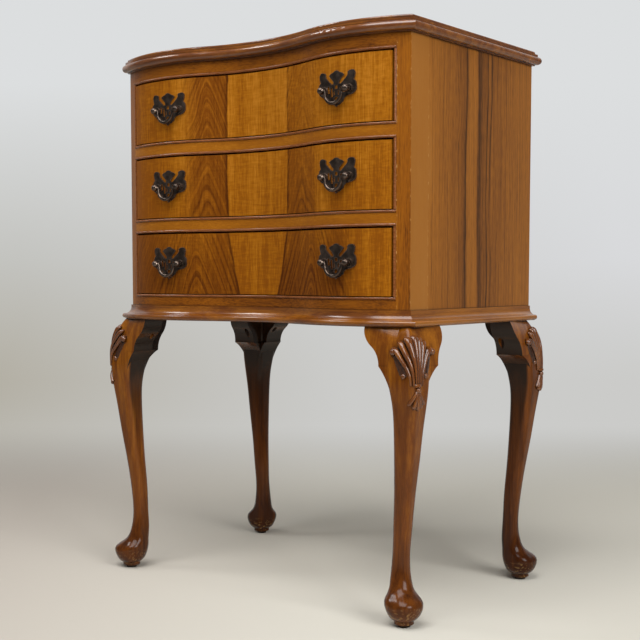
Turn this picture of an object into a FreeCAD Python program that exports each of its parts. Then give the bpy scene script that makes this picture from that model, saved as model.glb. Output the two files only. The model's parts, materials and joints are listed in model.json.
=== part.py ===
"""Small walnut chest of three drawers on cabriole legs, its front hollow between two swelling flanks.

The frame is +Z up with the origin on the floor, in the middle of the object's box. The front faces -Y and
left is -X. All sizes are in millimetres.
"""
import FreeCAD, Part
import Sketcher
import math
import os

# Driving dimensions of the case, the drawers and the handles
SIZES = {
    # plan of the case: straight sides, straight back, bowed front
    "case_half": 244,
    "crest_x": 158,
    "crest_y": -158,
    "flank_radius": 204,
    "hollow_radius": 272,
    "back_y": 161,
    # levels
    "base_z": 368,
    "floor_z": 388,
    "case_top": 721,
    # top board: a rounded bead between a thin fillet below and two small steps above
    "top_fillet_high": 1.4,
    "top_fillet_out": 3,
    "top_bead_high": 11.4,
    "top_bead_out": 10,
    "top_bead_round": 5.6,
    "top_back_out": 10.6,
    "top_step_high": 2.8,
    "top_step_out": 6,
    "top_cap_high": 4.4,
    "top_cap_out": 3,
    "top_cap_round": 2,
    # case joinery
    "side_thick": 14,
    "stile_in": 227.5,
    "rail_back_y": -100,
    "back_thick": 6,
    "back_rebate": 6,
    "back_rail_deep": 30,
    "back_rail_high": 16,
    "cock_thick": 3.5,
    "cock_proud": 1.5,
    "cock_deep": 12,
    "cock_round": 1.6,
    "runner_in": 206,
    "runner_high": 14,
    "guide_in": 223.2,
    "guide_high": 15,
    "runner_gap": 0.3,
    "stop_in": 118,
    "stop_long": 26,
    "stop_deep": 11,
    "stop_high": 9,
    "stop_play": 0.4,
    "kicker_gap": 2,
    # base moulding section
    "base_out": 13.6,
    "base_bead_low": 0.6,
    "base_bead_high": 7.6,
    "base_cove_out": 8.4,
    "base_cove_top": 16.6,
    "base_cove_round": 9.5,
    "base_fillet_out": 2,
    "mitre_reach": 400,
    "mitre_deep": 500,
    "mitre_spare": 1,
    # drawers
    "drawer_z": 405,
    "drawer_pitch": 106,
    "front_high": 83,
    "front_proud": 1,
    "front_thick": 20,
    "gap_over": 2.2,
    "gap_under": 1,
    "box_half": 222,
    "box_side": 8,
    "box_side_high": 76,
    "box_back_y": 150,
    "box_back_high": 60,
    "box_bottom_up": 10,
    "box_bottom_thick": 4.5,
    "box_groove": 4,
    "tail_long": 12,
    "tail_wide": 16,
    "tail_waist": 11,
    # handles, in a frame of their own on the drawer's face
    "handle_x": 147,
    "handle_up": 41.5,
    "post_half": 20,
    "post_round": 2.4,
    "post_long": 28,
    "rosette_round": 5.4,
    "rosette_thick": 2.2,
    "rosette_sunk": 1,
    "head_round": 4.6,
    "head_out": 7.6,
    "plate_half": 30.4,
    "plate_rise": 22.4,
    "plate_drop": 20.5,
    "plate_thick": 1.5,
    "plate_blank": 40,
    "sheet_tall": 100,
    "bail_wire": 1.6,
    "bail_drop": 16.8,
    "bail_elbow": 2.3,
    "bail_start": 15.9,
    "bail_pin": 18.8,
    "bail_play": 0.06,
    "eye_spare": 0.5,
    "nut_in": 22,
    "nut_high": 4,
    "nut_round": 5,
    # legs and feet
    "foot_x": 243.5,
    "foot_front_y": -148,
    "foot_back_y": 146,
    "sole_z": 8.5,
    "disc_round": 12.4,
    "disc_z": 4,
    "disc_sunk": 0.5,
    "glide_round": 7.5,
    "wing_root": 10,
    "wing_low_z": 275,
    "front_ear_reach": 50.5,
    "front_ear_heel": 28,
    "side_ear_reach": 58.5,
    "side_ear_heel": 40,
    "ear_low_z": 321,
    "ear_toe": 6,
    "ear_inner": 19,
    "ear_bore_spare": 0.4,
    "stock_inner": 26,
    "stock_long": 80,
    "crown_sink": 0.8,
    "neck_sink": 0.8,
    "shoulder_sink": 0.8,
    "knee_sink": 0.8,
    "underknee_sink": 3,
    "calf_sink": 4,
    "crown_flare": 0.27,
    "neck_flare": 0.16,
    "shoulder_flare": 0.06,
    "knee_flare": 0,
    "underknee_flare": 0,
    "calf_flare": 0,
    "side_flare": 0.4,
    # screws
    "screw_shank": 1.9,
    "screw_head": 3.6,
    "screw_head_high": 2.5,
    "leg_screw_long": 46,
    "leg_screw_near": 8,
    "leg_screw_mid": 16,
    "leg_screw_far": 17,
    "leg_screw_low": 10,
    "front_ear_screw": 37,
    "side_ear_screw": 45,
    "ear_screw_in": 9,
    "ear_screw_z": 352,
    "ear_screw_long": 28,
    "top_screw_long": 24,
    "top_screw_mid_x": 60,
    "top_screw_mid_y": -110,
    "top_screw_end_x": 190,
    "top_screw_end_y": -116,
    "top_screw_back_x": 150,
    "back_screw_long": 20,
    "back_screw_head": 1.5,
    "back_screw_x": 233,
    "back_screw_low": 25,
    "back_screw_pitch": 94,
    "rail_screw_x": 80,
}

# Cabriole leg: how far each level reaches from the foot's centre, outwards and inwards along X and Y
LEG_FIELDS = ("z", "outx", "inx", "outy", "iny", "corner")
LEG_LEVELS = {
    "crown": (368, 6.3, 21, 1.8, 23, 5),
    "neck": (351, 15.2, 21, 10.8, 23, 6),
    "shoulder": (330, 20.7, 21, 16, 24, 6.5),
    "knee": (304, 23.3, 17.2, 18, 22, 7),
    "underknee": (278, 23, 12.7, 16.3, 19.2, 8),
    "calf": (245, 19, 12.2, 13, 18.2, 9),
    "midshin": (205, 14, 14, 9.4, 18.6, 9.5),
    "shin": (160, 7.5, 16.9, 5.1, 19.3, 9.8),
    "lowshin": (116, 2.3, 20.2, 2, 20.6, 10.2),
    "ankle": (82, -0.1, 22, 1.6, 20.2, 10.4),
    "heel": (56, 2.6, 23.4, 5, 20.9, 12.2),
    "instep": (41.5, 9.6, 23.4, 11.6, 21.3, 15),
    "padtop": (31, 20.6, 23.2, 21.2, 21.8, 16.5),
    "pad": (23, 22.7, 22.7, 22.7, 22.5, 20.6),
    "padlow": (14, 19.3, 19.3, 19.3, 19.3, 18.6),
    "sole": (8.5, 13.4, 13.4, 13.4, 13.4, 12.8),
}

# Half outline of a handle plate, from the crest's middle to the lower point, as shares of its half width,
# its rise above the posts and its drop below them
PLATE_OUTLINE = (
    (0, 1.06), (0.09, 1.04), (0.15, 0.97), (0.29, 0.91), (0.4, 0.81), (0.14, 0.45), (0.15, 0.34),
    (0.25, 0.33), (0.54, 0.68), (0.59, 0.8), (0.57, 0.89), (0.63, 0.98), (0.76, 1.02), (0.88, 1),
    (0.95, 0.87), (0.93, 0.66), (0.88, 0.48), (0.97, 0.37), (1, 0.22), (1, -0.06), (0.93, -0.22),
    (0.8, -0.33), (0.64, -0.37), (0.52, -0.42), (0.42, -0.5), (0.38, -0.6), (0.36, -0.7), (0.28, -0.77),
    (0.2, -0.86), (0.08, -0.91), (0, -1),
)

# Slits pierced in the middle and the right half of a handle plate, from end to end and half their width,
# in the same shares
PLATE_SLITS = (((0, 0.27), (0, 0.07), 0.075), ((0, -0.37), (0, -0.66), 0.085),
               ((0.43, 0.23), (0.4, -0.15), 0.05), ((0.26, 0.15), (0.23, -0.36), 0.045),
               ((0.12, -0.03), (0.11, -0.27), 0.035))

DRAWERS = ("lower", "middle", "upper")
TAILS = 3
SIDE_SCREWS = 4

doc = FreeCAD.newDocument("chest_of_drawers")
nodes = []


class Measure:
    """A length that carries both its sheet formula and its present number."""

    def __init__(self, formula, number):
        self.formula = formula
        self.number = number

    def __add__(self, other):
        other = measure(other)
        return Measure(f"({self.formula} + {other.formula})", self.number + other.number)

    def __sub__(self, other):
        other = measure(other)
        return Measure(f"({self.formula} - {other.formula})", self.number - other.number)

    def __mul__(self, other):
        other = measure(other)
        return Measure(f"({self.formula} * {other.formula})", self.number * other.number)

    def __truediv__(self, other):
        other = measure(other)
        return Measure(f"({self.formula} / {other.formula})", self.number / other.number)

    def __neg__(self):
        return Measure(f"(-1 * {self.formula})", -self.number)


def measure(value):
    """A bare number as a measure; a measure as it is."""
    if isinstance(value, Measure):
        return value
    return Measure(str(value), value)


def root(value):
    """Square root of a measure."""
    return Measure(f"sqrt({value.formula})", math.sqrt(value.number))


class Sheet:
    """The sheet of driving dimensions, read as measures by alias."""

    def __init__(self, sizes):
        self.sizes = sizes
        table = doc.addObject("Spreadsheet::Sheet", "dims")
        for row, (alias, size) in enumerate(sizes.items(), start=1):
            table.set(f"A{row}", alias)
            table.set(f"B{row}", str(size))
            table.setAlias(f"B{row}", alias)
        doc.recompute()

    def __getattr__(self, alias):
        return Measure(f"dims.{alias}", self.sizes[alias])


def all_sizes():
    """The driving dimensions together with the leg's levels, one alias each."""
    sizes = dict(SIZES)
    for level, row in LEG_LEVELS.items():
        for field, size in zip(LEG_FIELDS, row):
            sizes[f"{level}_{field}"] = size
    return sizes


dim = Sheet(all_sizes())


# Geometry of the bowed front

def flank_centre_y():
    return dim.crest_y + dim.flank_radius


def hollow_centre_y():
    reach = dim.hollow_radius + dim.flank_radius
    return flank_centre_y() - root(reach * reach - dim.crest_x * dim.crest_x)


def flank_y(x, out):
    """Y of the front at a given X on a flank, moved outwards by a given distance."""
    radius = dim.flank_radius + out
    run = x - dim.crest_x
    return flank_centre_y() - root(radius * radius - run * run)


# Sketch helpers

def new_body(label):
    body = doc.addObject("PartDesign::Body", label)
    body.Label = label
    return body


def new_sketch(body, plane, offset):
    """Sketch on one of the body's own origin planes, moved along the plane's normal."""
    sketch = body.newObject("Sketcher::SketchObject", f"{body.Name}_sketch")
    support = [item for item in body.Origin.OriginFeatures if item.Role == plane][0]
    sketch.AttachmentSupport = [(support, "")]
    sketch.MapMode = "FlatFace"
    sketch.setExpression("AttachmentOffset.Base.z", measure(offset).formula)
    return sketch


def dimension(sketch, kind, places, value):
    """Dimensional constraint whose value follows the sheet."""
    index = sketch.addConstraint(Sketcher.Constraint(kind, *places, value.number))
    sketch.setExpression(f"Constraints[{index}]", value.formula)


def pin(sketch, geometry, point, x=None, y=None):
    """Fix a point of the sketch at given coordinates."""
    for axis, value, line in (("X", x, -2), ("Y", y, -1)):
        if value is None:
            continue
        value = measure(value)
        if value.number == 0:
            sketch.addConstraint(Sketcher.Constraint("PointOnObject", geometry, point, line))
        elif value.number > 0:
            dimension(sketch, f"Distance{axis}", (-1, 1, geometry, point), value)
        else:
            dimension(sketch, f"Distance{axis}", (geometry, point, -1, 1), -value)


def join(sketch, first, first_point, second, second_point):
    sketch.addConstraint(Sketcher.Constraint("Coincident", first, first_point, second, second_point))


def line(sketch, start, end):
    ends = [FreeCAD.Vector(measure(p[0]).number, measure(p[1]).number, 0) for p in (start, end)]
    return sketch.addGeometry(Part.LineSegment(*ends))


def arc(sketch, centre, radius, start, end):
    """Arc about a centre, anticlockwise from one point's direction to another's; all plain numbers."""
    circle = Part.Circle(FreeCAD.Vector(centre[0], centre[1], 0), FreeCAD.Vector(0, 0, 1), radius)
    angles = [math.atan2(p[1] - centre[1], p[0] - centre[0]) for p in (start, end)]
    return sketch.addGeometry(Part.ArcOfCircle(circle, *angles))


def polygon(sketch, points):
    """Closed outline of straight lines with every corner pinned."""
    count = len(points)
    lines = [line(sketch, points[i], points[(i + 1) % count]) for i in range(count)]
    for i, geometry in enumerate(lines):
        join(sketch, geometry, 2, lines[(i + 1) % count], 1)
        pin(sketch, geometry, 1, *points[i])
    return lines


def bow(sketch, half, out):
    """Three tangent arcs of the front, moved outwards by a distance. Gives left, middle and right arc."""
    crest, centre, hollow = dim.crest_x, flank_centre_y(), hollow_centre_y()
    flank = dim.flank_radius + out
    bend = dim.hollow_radius - out
    share = flank.number / (dim.flank_radius.number + dim.hollow_radius.number)
    meet_x = crest.number * (1 - share)
    meet_y = centre.number - (centre.number - hollow.number) * share
    end_y = flank_y(half, out).number
    left = arc(sketch, (-crest.number, centre.number), flank.number,
               (-half.number, end_y), (-meet_x, meet_y))
    middle = arc(sketch, (0, hollow.number), bend.number, (meet_x, meet_y), (-meet_x, meet_y))
    right = arc(sketch, (crest.number, centre.number), flank.number,
                (meet_x, meet_y), (half.number, end_y))
    pin(sketch, left, 3, -crest, centre)
    pin(sketch, middle, 3, 0, hollow)
    pin(sketch, right, 3, crest, centre)
    dimension(sketch, "Radius", (middle,), bend)
    sketch.addConstraint(Sketcher.Constraint("Tangent", left, 2, middle, 2))
    sketch.addConstraint(Sketcher.Constraint("Tangent", middle, 1, right, 1))
    return left, middle, right


def side_line(sketch, x, front, back):
    """Line along Y at a given X, between the ends of two curves or down to a level."""
    geometry = line(sketch, (x, front), (x, back))
    sketch.addConstraint(Sketcher.Constraint("Vertical", geometry))
    pin(sketch, geometry, 1, x=x)
    return geometry


def bowed_board(sketch, half, out, back):
    """Plan of a board with a bowed front edge and a straight back."""
    left, _, right = bow(sketch, half, out)
    front = flank_y(half, out)
    right_side = side_line(sketch, half, front, back)
    left_side = side_line(sketch, -half, front, back)
    rear = line(sketch, (half, back), (-half, back))
    join(sketch, right, 2, right_side, 1)
    join(sketch, left, 1, left_side, 1)
    join(sketch, right_side, 2, rear, 1)
    join(sketch, left_side, 2, rear, 2)
    sketch.addConstraint(Sketcher.Constraint("Horizontal", rear))
    pin(sketch, rear, 1, y=back)


def bowed_strip(sketch, half, out, inner):
    """Plan of a strip between two parallel bowed curves."""
    left, _, right = bow(sketch, half, out)
    inner_left, _, inner_right = bow(sketch, half, inner)
    right_side = side_line(sketch, half, flank_y(half, out), flank_y(half, inner))
    left_side = side_line(sketch, -half, flank_y(half, out), flank_y(half, inner))
    join(sketch, right, 2, right_side, 1)
    join(sketch, right_side, 2, inner_right, 2)
    join(sketch, left, 1, left_side, 1)
    join(sketch, left_side, 2, inner_left, 1)


def flank_piece(sketch, low_x, high_x, out, back):
    """Plan of an upright on the right flank: a curved front, two sides along Y and a straight back."""
    ends = [(x.number, flank_y(x, out).number) for x in (low_x, high_x)]
    centre = (dim.crest_x.number, flank_centre_y().number)
    front = arc(sketch, centre, (dim.flank_radius + out).number, *ends)
    pin(sketch, front, 3, dim.crest_x, flank_centre_y())
    dimension(sketch, "Radius", (front,), dim.flank_radius + out)
    near = side_line(sketch, low_x, flank_y(low_x, out), back)
    far = side_line(sketch, high_x, flank_y(high_x, out), back)
    rear = line(sketch, (low_x, back), (high_x, back))
    join(sketch, front, 1, near, 1)
    join(sketch, front, 2, far, 1)
    join(sketch, near, 2, rear, 1)
    join(sketch, far, 2, rear, 2)
    sketch.addConstraint(Sketcher.Constraint("Horizontal", rear))
    pin(sketch, rear, 1, y=back)


def pad(body, sketch, length, midplane=False):
    feature = body.newObject("PartDesign::Pad", f"{body.Name}_pad")
    feature.Profile = sketch
    feature.setExpression("Length", measure(length).formula)
    feature.Midplane = midplane
    return feature


def rounded(body, base, radius, wanted):
    """Fillet on those edges of a feature that pass a test."""
    doc.recompute()
    feature = body.newObject("PartDesign::Fillet", f"{body.Name}_round")
    feature.Base = (base, [f"Edge{i}" for i, edge in enumerate(base.Shape.Edges, start=1) if wanted(edge)])
    feature.setExpression("Radius", radius.formula)
    return feature


def at_level(edge, level):
    """Whether an edge lies flat at a height."""
    return max(abs(point.Point.z - level.number) for point in edge.Vertexes) < 0.01


def on_front(edge):
    """Whether an edge follows the bow of the front, on the outer side of a strip."""
    middle = edge.valueAt((edge.FirstParameter + edge.LastParameter) / 2)
    x = abs(middle.x)
    run = x - dim.crest_x.number
    flank = flank_centre_y().number - math.sqrt(dim.flank_radius.number ** 2 - run ** 2)
    hollow = hollow_centre_y().number + math.sqrt(dim.hollow_radius.number ** 2 - x ** 2)
    share = dim.hollow_radius.number / (dim.hollow_radius.number + dim.flank_radius.number)
    return middle.y < (flank if x > dim.crest_x.number * share else hollow)


# Solids without a sketch

def place(item, at):
    for axis, value in zip("xyz", at):
        item.setExpression(f"Placement.Base.{axis}", measure(value).formula)


def block(label, low, high):
    """Box between two opposite corners."""
    item = doc.addObject("Part::Box", label)
    low = [measure(v) for v in low]
    high = [measure(v) for v in high]
    for name, start, end in zip(("Length", "Width", "Height"), low, high):
        item.setExpression(name, (end - start).formula)
    place(item, low)
    return item


def rod(label, radius, length, at, along="Z"):
    """Cylinder from a point along +Z, +Y or +X."""
    item = doc.addObject("Part::Cylinder", label)
    item.setExpression("Radius", measure(radius).formula)
    item.setExpression("Height", measure(length).formula)
    turn = {"Z": ((0, 0, 1), 0), "Y": ((1, 0, 0), -90), "X": ((0, 1, 0), 90)}[along]
    item.Placement = FreeCAD.Placement(FreeCAD.Vector(), FreeCAD.Rotation(FreeCAD.Vector(*turn[0]), turn[1]))
    place(item, at)
    return item


def cut(label, base, *tools):
    """The base with every tool taken out of it."""
    item = doc.addObject("Part::Cut", label)
    item.Base = base
    item.Tool = tools[0] if len(tools) == 1 else group(f"{label}_tools", tools)
    return item


def fuse(label, *items):
    item = doc.addObject("Part::MultiFuse", label)
    item.Shapes = list(items)
    return item


def common(label, base, tool):
    item = doc.addObject("Part::Common", label)
    item.Base = base
    item.Tool = tool
    return item


def group(label, items):
    """Several separate solids kept together."""
    item = doc.addObject("Part::Compound", label)
    item.Links = list(items)
    return item


def mirrored(label, source, normal, base=0):
    """Mirror image in a plane across X or across Y."""
    item = doc.addObject("Part::Mirroring", label)
    item.Source = source
    item.Normal = FreeCAD.Vector(*normal)
    if normal[1]:
        item.setExpression("Base.y", measure(base).formula)
    return item


def across(label, source):
    return mirrored(label, source, (1, 0, 0))


def node(label, item):
    """Name a finished sub-part."""
    item.Label = label
    nodes.append(item)
    return item


# Case

def make_top_board(screws):
    """Board of four layers: a rounded bead, a small step, an eased cap, and a thin fillet under the bead."""
    body = new_body("top_board_body")

    def layer(level, high, out):
        sketch = new_sketch(body, "XY_Plane", level)
        bowed_board(sketch, dim.case_half + out, out, dim.back_y + out + dim.top_back_out - dim.top_bead_out)
        return pad(body, sketch, high)

    bead_z = dim.case_top + dim.top_fillet_high
    step_z = bead_z + dim.top_bead_high
    cap_z = step_z + dim.top_step_high
    top_z = cap_z + dim.top_cap_high
    bead = layer(bead_z, dim.top_bead_high, dim.top_bead_out)
    rounded(body, bead, dim.top_bead_round, lambda edge: at_level(edge, bead_z) or at_level(edge, step_z))
    layer(step_z, dim.top_step_high, dim.top_step_out)
    cap = layer(cap_z, dim.top_cap_high, dim.top_cap_out)
    rounded(body, cap, dim.top_cap_round, lambda edge: at_level(edge, top_z))
    layer(dim.case_top, dim.top_fillet_high, dim.top_fillet_out)
    node("top_board", cut("top_board", body, screws))


def make_side_panels(screws):
    side = block("side_board", (dim.case_half - dim.side_thick, dim.rail_back_y, dim.floor_z),
                 (dim.case_half, dim.back_y, dim.case_top))
    rebate = block("side_rebate", (dim.case_half - dim.side_thick, dim.back_y - dim.back_thick, dim.floor_z),
                   (dim.case_half - dim.side_thick + dim.back_rebate, dim.back_y, dim.case_top))
    right = cut("right_side_panel", side, rebate, screws)
    node("right_side_panel", right)
    node("left_side_panel", across("left_side_panel", right))


def make_stiles():
    body = new_body("right_front_stile")
    sketch = new_sketch(body, "XY_Plane", dim.floor_z)
    flank_piece(sketch, dim.stile_in, dim.case_half, measure(0), dim.rail_back_y)
    pad(body, sketch, dim.case_top - dim.floor_z)
    node("right_front_stile", body)
    node("left_front_stile", across("left_front_stile", body))


def opening(index):
    """Lowest and highest level of the clear space round a drawer front."""
    base = dim.drawer_z + dim.drawer_pitch * index
    return base - dim.gap_under, base + dim.front_high + dim.gap_over


def make_rails(screws):
    """Front rails between the stiles, from the bottom one to the top one."""
    names = ("bottom_front_rail", "lower_divider_rail", "upper_divider_rail", "top_front_rail")
    lows = [dim.floor_z] + [opening(i)[1] + dim.cock_thick for i in range(len(DRAWERS))]
    highs = [opening(i)[0] - dim.cock_thick for i in range(len(DRAWERS))] + [dim.case_top]
    for name, low, high in zip(names, lows, highs):
        body = new_body(f"{name}_body")
        sketch = new_sketch(body, "XY_Plane", low)
        bowed_board(sketch, dim.stile_in, measure(0), dim.rail_back_y)
        pad(body, sketch, high - low)
        node(name, cut(name, body, screws) if name == "top_front_rail" else body)


def make_cock_beads():
    """Rounded beads planted on all four sides of each opening."""
    inner = dim.stile_in - dim.cock_thick
    for index, name in enumerate(DRAWERS):
        low, high = opening(index)
        pieces = []
        for part, level in (("under", low - dim.cock_thick), ("over", high)):
            body = new_body(f"{name}_{part}_bead")
            sketch = new_sketch(body, "XY_Plane", level)
            bowed_strip(sketch, dim.stile_in, dim.cock_proud, -dim.cock_deep)
            strip = pad(body, sketch, dim.cock_thick)
            rounded(body, strip, dim.cock_round,
                    lambda edge: on_front(edge) and edge.Curve.TypeId == "Part::GeomCircle")
            pieces.append(body)
        body = new_body(f"{name}_right_bead")
        sketch = new_sketch(body, "XY_Plane", low)
        back = flank_y(dim.stile_in, measure(0)) + dim.cock_deep
        flank_piece(sketch, inner, dim.stile_in, dim.cock_proud, back)
        strip = pad(body, sketch, high - low)
        rounded(body, strip, dim.cock_round,
                lambda edge: on_front(edge) and edge.Curve.TypeId == "Part::GeomLine")
        pieces += [body, across(f"{name}_left_bead", body)]
        label = f"{name}_opening_beads"
        node(label, group(label, pieces))


def make_back(back_screws, top_screws):
    inner = dim.case_half - dim.side_thick
    edge = inner + dim.back_rebate
    face = dim.back_y - dim.back_thick
    panel = block("back_board", (-edge, face, dim.floor_z), (edge, dim.back_y, dim.case_top))
    node("back_panel", cut("back_panel", panel, back_screws))
    rail = block("back_rail_bar", (-inner, face - dim.back_rail_deep, dim.case_top - dim.back_rail_high),
                 (inner, face, dim.case_top))
    node("back_top_rail", cut("back_top_rail", rail, back_screws, top_screws))


def make_bottom_board(*screws):
    body = new_body("bottom_board_body")
    sketch = new_sketch(body, "XY_Plane", dim.base_z)
    bowed_board(sketch, dim.case_half, measure(0), dim.back_y)
    pad(body, sketch, dim.floor_z - dim.base_z)
    node("bottom_board", cut("bottom_board", body, *screws))


def make_runners():
    """Strips that carry the drawers, strips on them that guide them, and kickers above the upper one."""
    wall = dim.case_half - dim.side_thick
    rear = dim.back_y - dim.back_thick
    pieces = []
    for index, name in enumerate(DRAWERS):
        top = dim.drawer_z + dim.drawer_pitch * index - dim.runner_gap
        shelf = block(f"{name}_shelf", (dim.runner_in, dim.rail_back_y, top - dim.runner_high),
                      (wall, rear, top))
        guide = block(f"{name}_guide", (dim.guide_in, dim.rail_back_y, top),
                      (wall, rear, top + dim.guide_high))
        for strip in (shelf, guide):
            pieces += [strip, across(f"{strip.Name}_left", strip)]
    above = dim.drawer_z + dim.drawer_pitch * (len(DRAWERS) - 1) + dim.box_side_high + dim.kicker_gap
    kicker = block("kicker", (dim.runner_in, dim.rail_back_y, above),
                   (wall, rear - dim.back_rail_deep, dim.case_top))
    pieces += [kicker, across("left_kicker", kicker)]
    node("drawer_runners", group("drawer_runners", pieces))


def make_stops():
    """Small blocks on the rails that meet the back of each drawer front when it is shut."""
    pieces = []
    front = flank_y(dim.stop_in, dim.front_proud - dim.front_thick) + dim.stop_play
    for index, name in enumerate(DRAWERS):
        base = opening(index)[0] - dim.cock_thick
        stop = block(f"{name}_stop", (dim.stop_in, front, base),
                     (dim.stop_in + dim.stop_long, front + dim.stop_deep, base + dim.stop_high))
        pieces += [stop, across(f"{name}_left_stop", stop)]
    node("drawer_stops", group("drawer_stops", pieces))


# Base moulding

def base_section(sketch, face, level):
    """Moulding section: foot, round bead, cove and fillet, outwards from the case's face."""
    sign = -1 if face.number < 0 else 1

    def at(out, up):
        return face + out * sign, level + up

    half = (dim.base_bead_high - dim.base_bead_low) * 0.5
    foot_out = dim.base_out - half
    top = dim.floor_z - dim.base_z
    corners = {"inner": at(measure(0), measure(0)), "toe": at(foot_out, measure(0)),
               "under": at(foot_out, dim.base_bead_low), "over": at(foot_out, dim.base_bead_high),
               "cove": at(dim.base_cove_out, dim.base_bead_high),
               "lip": at(dim.base_fillet_out, dim.base_cove_top),
               "edge": at(dim.base_fillet_out, top), "head": at(measure(0), top)}
    spots = {name: tuple(v.number for v in corner) for name, corner in corners.items()}
    foot = line(sketch, corners["inner"], corners["toe"])
    toe = line(sketch, corners["toe"], corners["under"])
    step = line(sketch, corners["over"], corners["cove"])
    rise = line(sketch, corners["lip"], corners["edge"])
    head = line(sketch, corners["edge"], corners["head"])
    wall = line(sketch, corners["head"], corners["inner"])
    middle = at(foot_out, dim.base_bead_low + half)
    bead_ends = (spots["under"], spots["over"])
    bead = arc(sketch, tuple(v.number for v in middle), half.number, *bead_ends[::sign])
    run = (spots["cove"][0] - spots["lip"][0]) / 2
    rise_half = (spots["lip"][1] - spots["cove"][1]) / 2
    chord = math.hypot(run, rise_half)
    back = math.sqrt(dim.base_cove_round.number ** 2 - chord ** 2) / chord
    centre = (spots["lip"][0] + run + rise_half * back * sign, spots["cove"][1] + rise_half + abs(run) * back)
    cove_ends = (spots["lip"], spots["cove"])
    cove = arc(sketch, centre, dim.base_cove_round.number, *cove_ends[::sign])
    low_end, high_end = (1, 2)[::sign]
    pin(sketch, bead, 3, *middle)
    for geometry, corner in ((foot, "inner"), (toe, "toe"), (step, "over"), (rise, "lip"), (head, "edge"),
                             (wall, "head")):
        pin(sketch, geometry, 1, *corners[corner])
    pin(sketch, step, 2, *corners["cove"])
    dimension(sketch, "Radius", (cove,), dim.base_cove_round)
    join(sketch, foot, 2, toe, 1)
    join(sketch, toe, 2, bead, low_end)
    join(sketch, bead, high_end, step, 1)
    join(sketch, step, 2, cove, high_end)
    join(sketch, cove, low_end, rise, 1)
    join(sketch, rise, 2, head, 1)
    join(sketch, head, 2, wall, 1)
    join(sketch, wall, 2, foot, 1)
    sketch.addConstraint(Sketcher.Constraint("Vertical", toe))


def make_base_mouldings():
    """Front moulding swept along the bow, side mouldings straight, mitred together at the front corners."""
    centre_y = hollow_centre_y() + dim.hollow_radius
    front = new_body("front_moulding_half")
    path = new_sketch(front, "XY_Plane", dim.base_z)
    reach = dim.case_half + dim.base_out * 2
    crest, centre, hollow = dim.crest_x.number, flank_centre_y().number, hollow_centre_y().number
    share = dim.flank_radius.number / (dim.flank_radius.number + dim.hollow_radius.number)
    meet = (crest * (1 - share), centre - (centre - hollow) * share)
    middle = arc(path, (0, hollow), dim.hollow_radius.number, meet, (0, centre_y.number))
    flank = arc(path, (crest, centre), dim.flank_radius.number, meet,
                (reach.number, flank_y(reach, measure(0)).number))
    pin(path, middle, 3, 0, hollow_centre_y())
    pin(path, middle, 2, x=0)
    dimension(path, "Radius", (middle,), dim.hollow_radius)
    pin(path, flank, 3, dim.crest_x, flank_centre_y())
    path.addConstraint(Sketcher.Constraint("Tangent", middle, 1, flank, 1))
    pin(path, flank, 2, x=reach)
    section = new_sketch(front, "YZ_Plane", 0)
    base_section(section, centre_y, dim.base_z)
    sweep = front.newObject("PartDesign::AdditivePipe", "front_moulding_sweep")
    sweep.Profile = section
    sweep.Spine = (path, ["Edge1", "Edge2"])
    whole = fuse("front_moulding_whole", front, across("front_moulding_other", front))

    side = new_body("side_moulding_long")
    section = new_sketch(side, "XZ_Plane", -dim.back_y)
    base_section(section, dim.case_half, dim.base_z)
    pad(side, section, dim.back_y - dim.crest_y)

    corner = (dim.case_half, flank_y(dim.case_half, measure(0)))
    tip = (dim.case_half + dim.base_out, flank_y(dim.case_half + dim.base_out, dim.base_out))
    run, drop = tip[0] - corner[0], tip[1] - corner[1]
    length = root(run * run + drop * drop)
    back = dim.mitre_reach / length
    wedge = doc.addObject("Part::Box", "mitre_block")
    wedge.setExpression("Length", (dim.mitre_reach * 2).formula)
    wedge.setExpression("Width", dim.mitre_deep.formula)
    wedge.setExpression("Height", (dim.floor_z - dim.base_z + dim.mitre_spare * 2).formula)
    place(wedge, (corner[0] - run * back, corner[1] - drop * back, dim.base_z - dim.mitre_spare))
    wedge.setExpression("Placement.Rotation.Angle", f"atan2({drop.formula}; {run.formula})")
    side_cut = common("right_moulding_cut", side, wedge)
    other = across("mitre_block_left", wedge)
    node("base_front_moulding", cut("base_front_moulding", whole, wedge, other))
    node("base_right_moulding", side_cut)
    node("base_left_moulding", across("base_left_moulding", side_cut))


# Drawers

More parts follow.
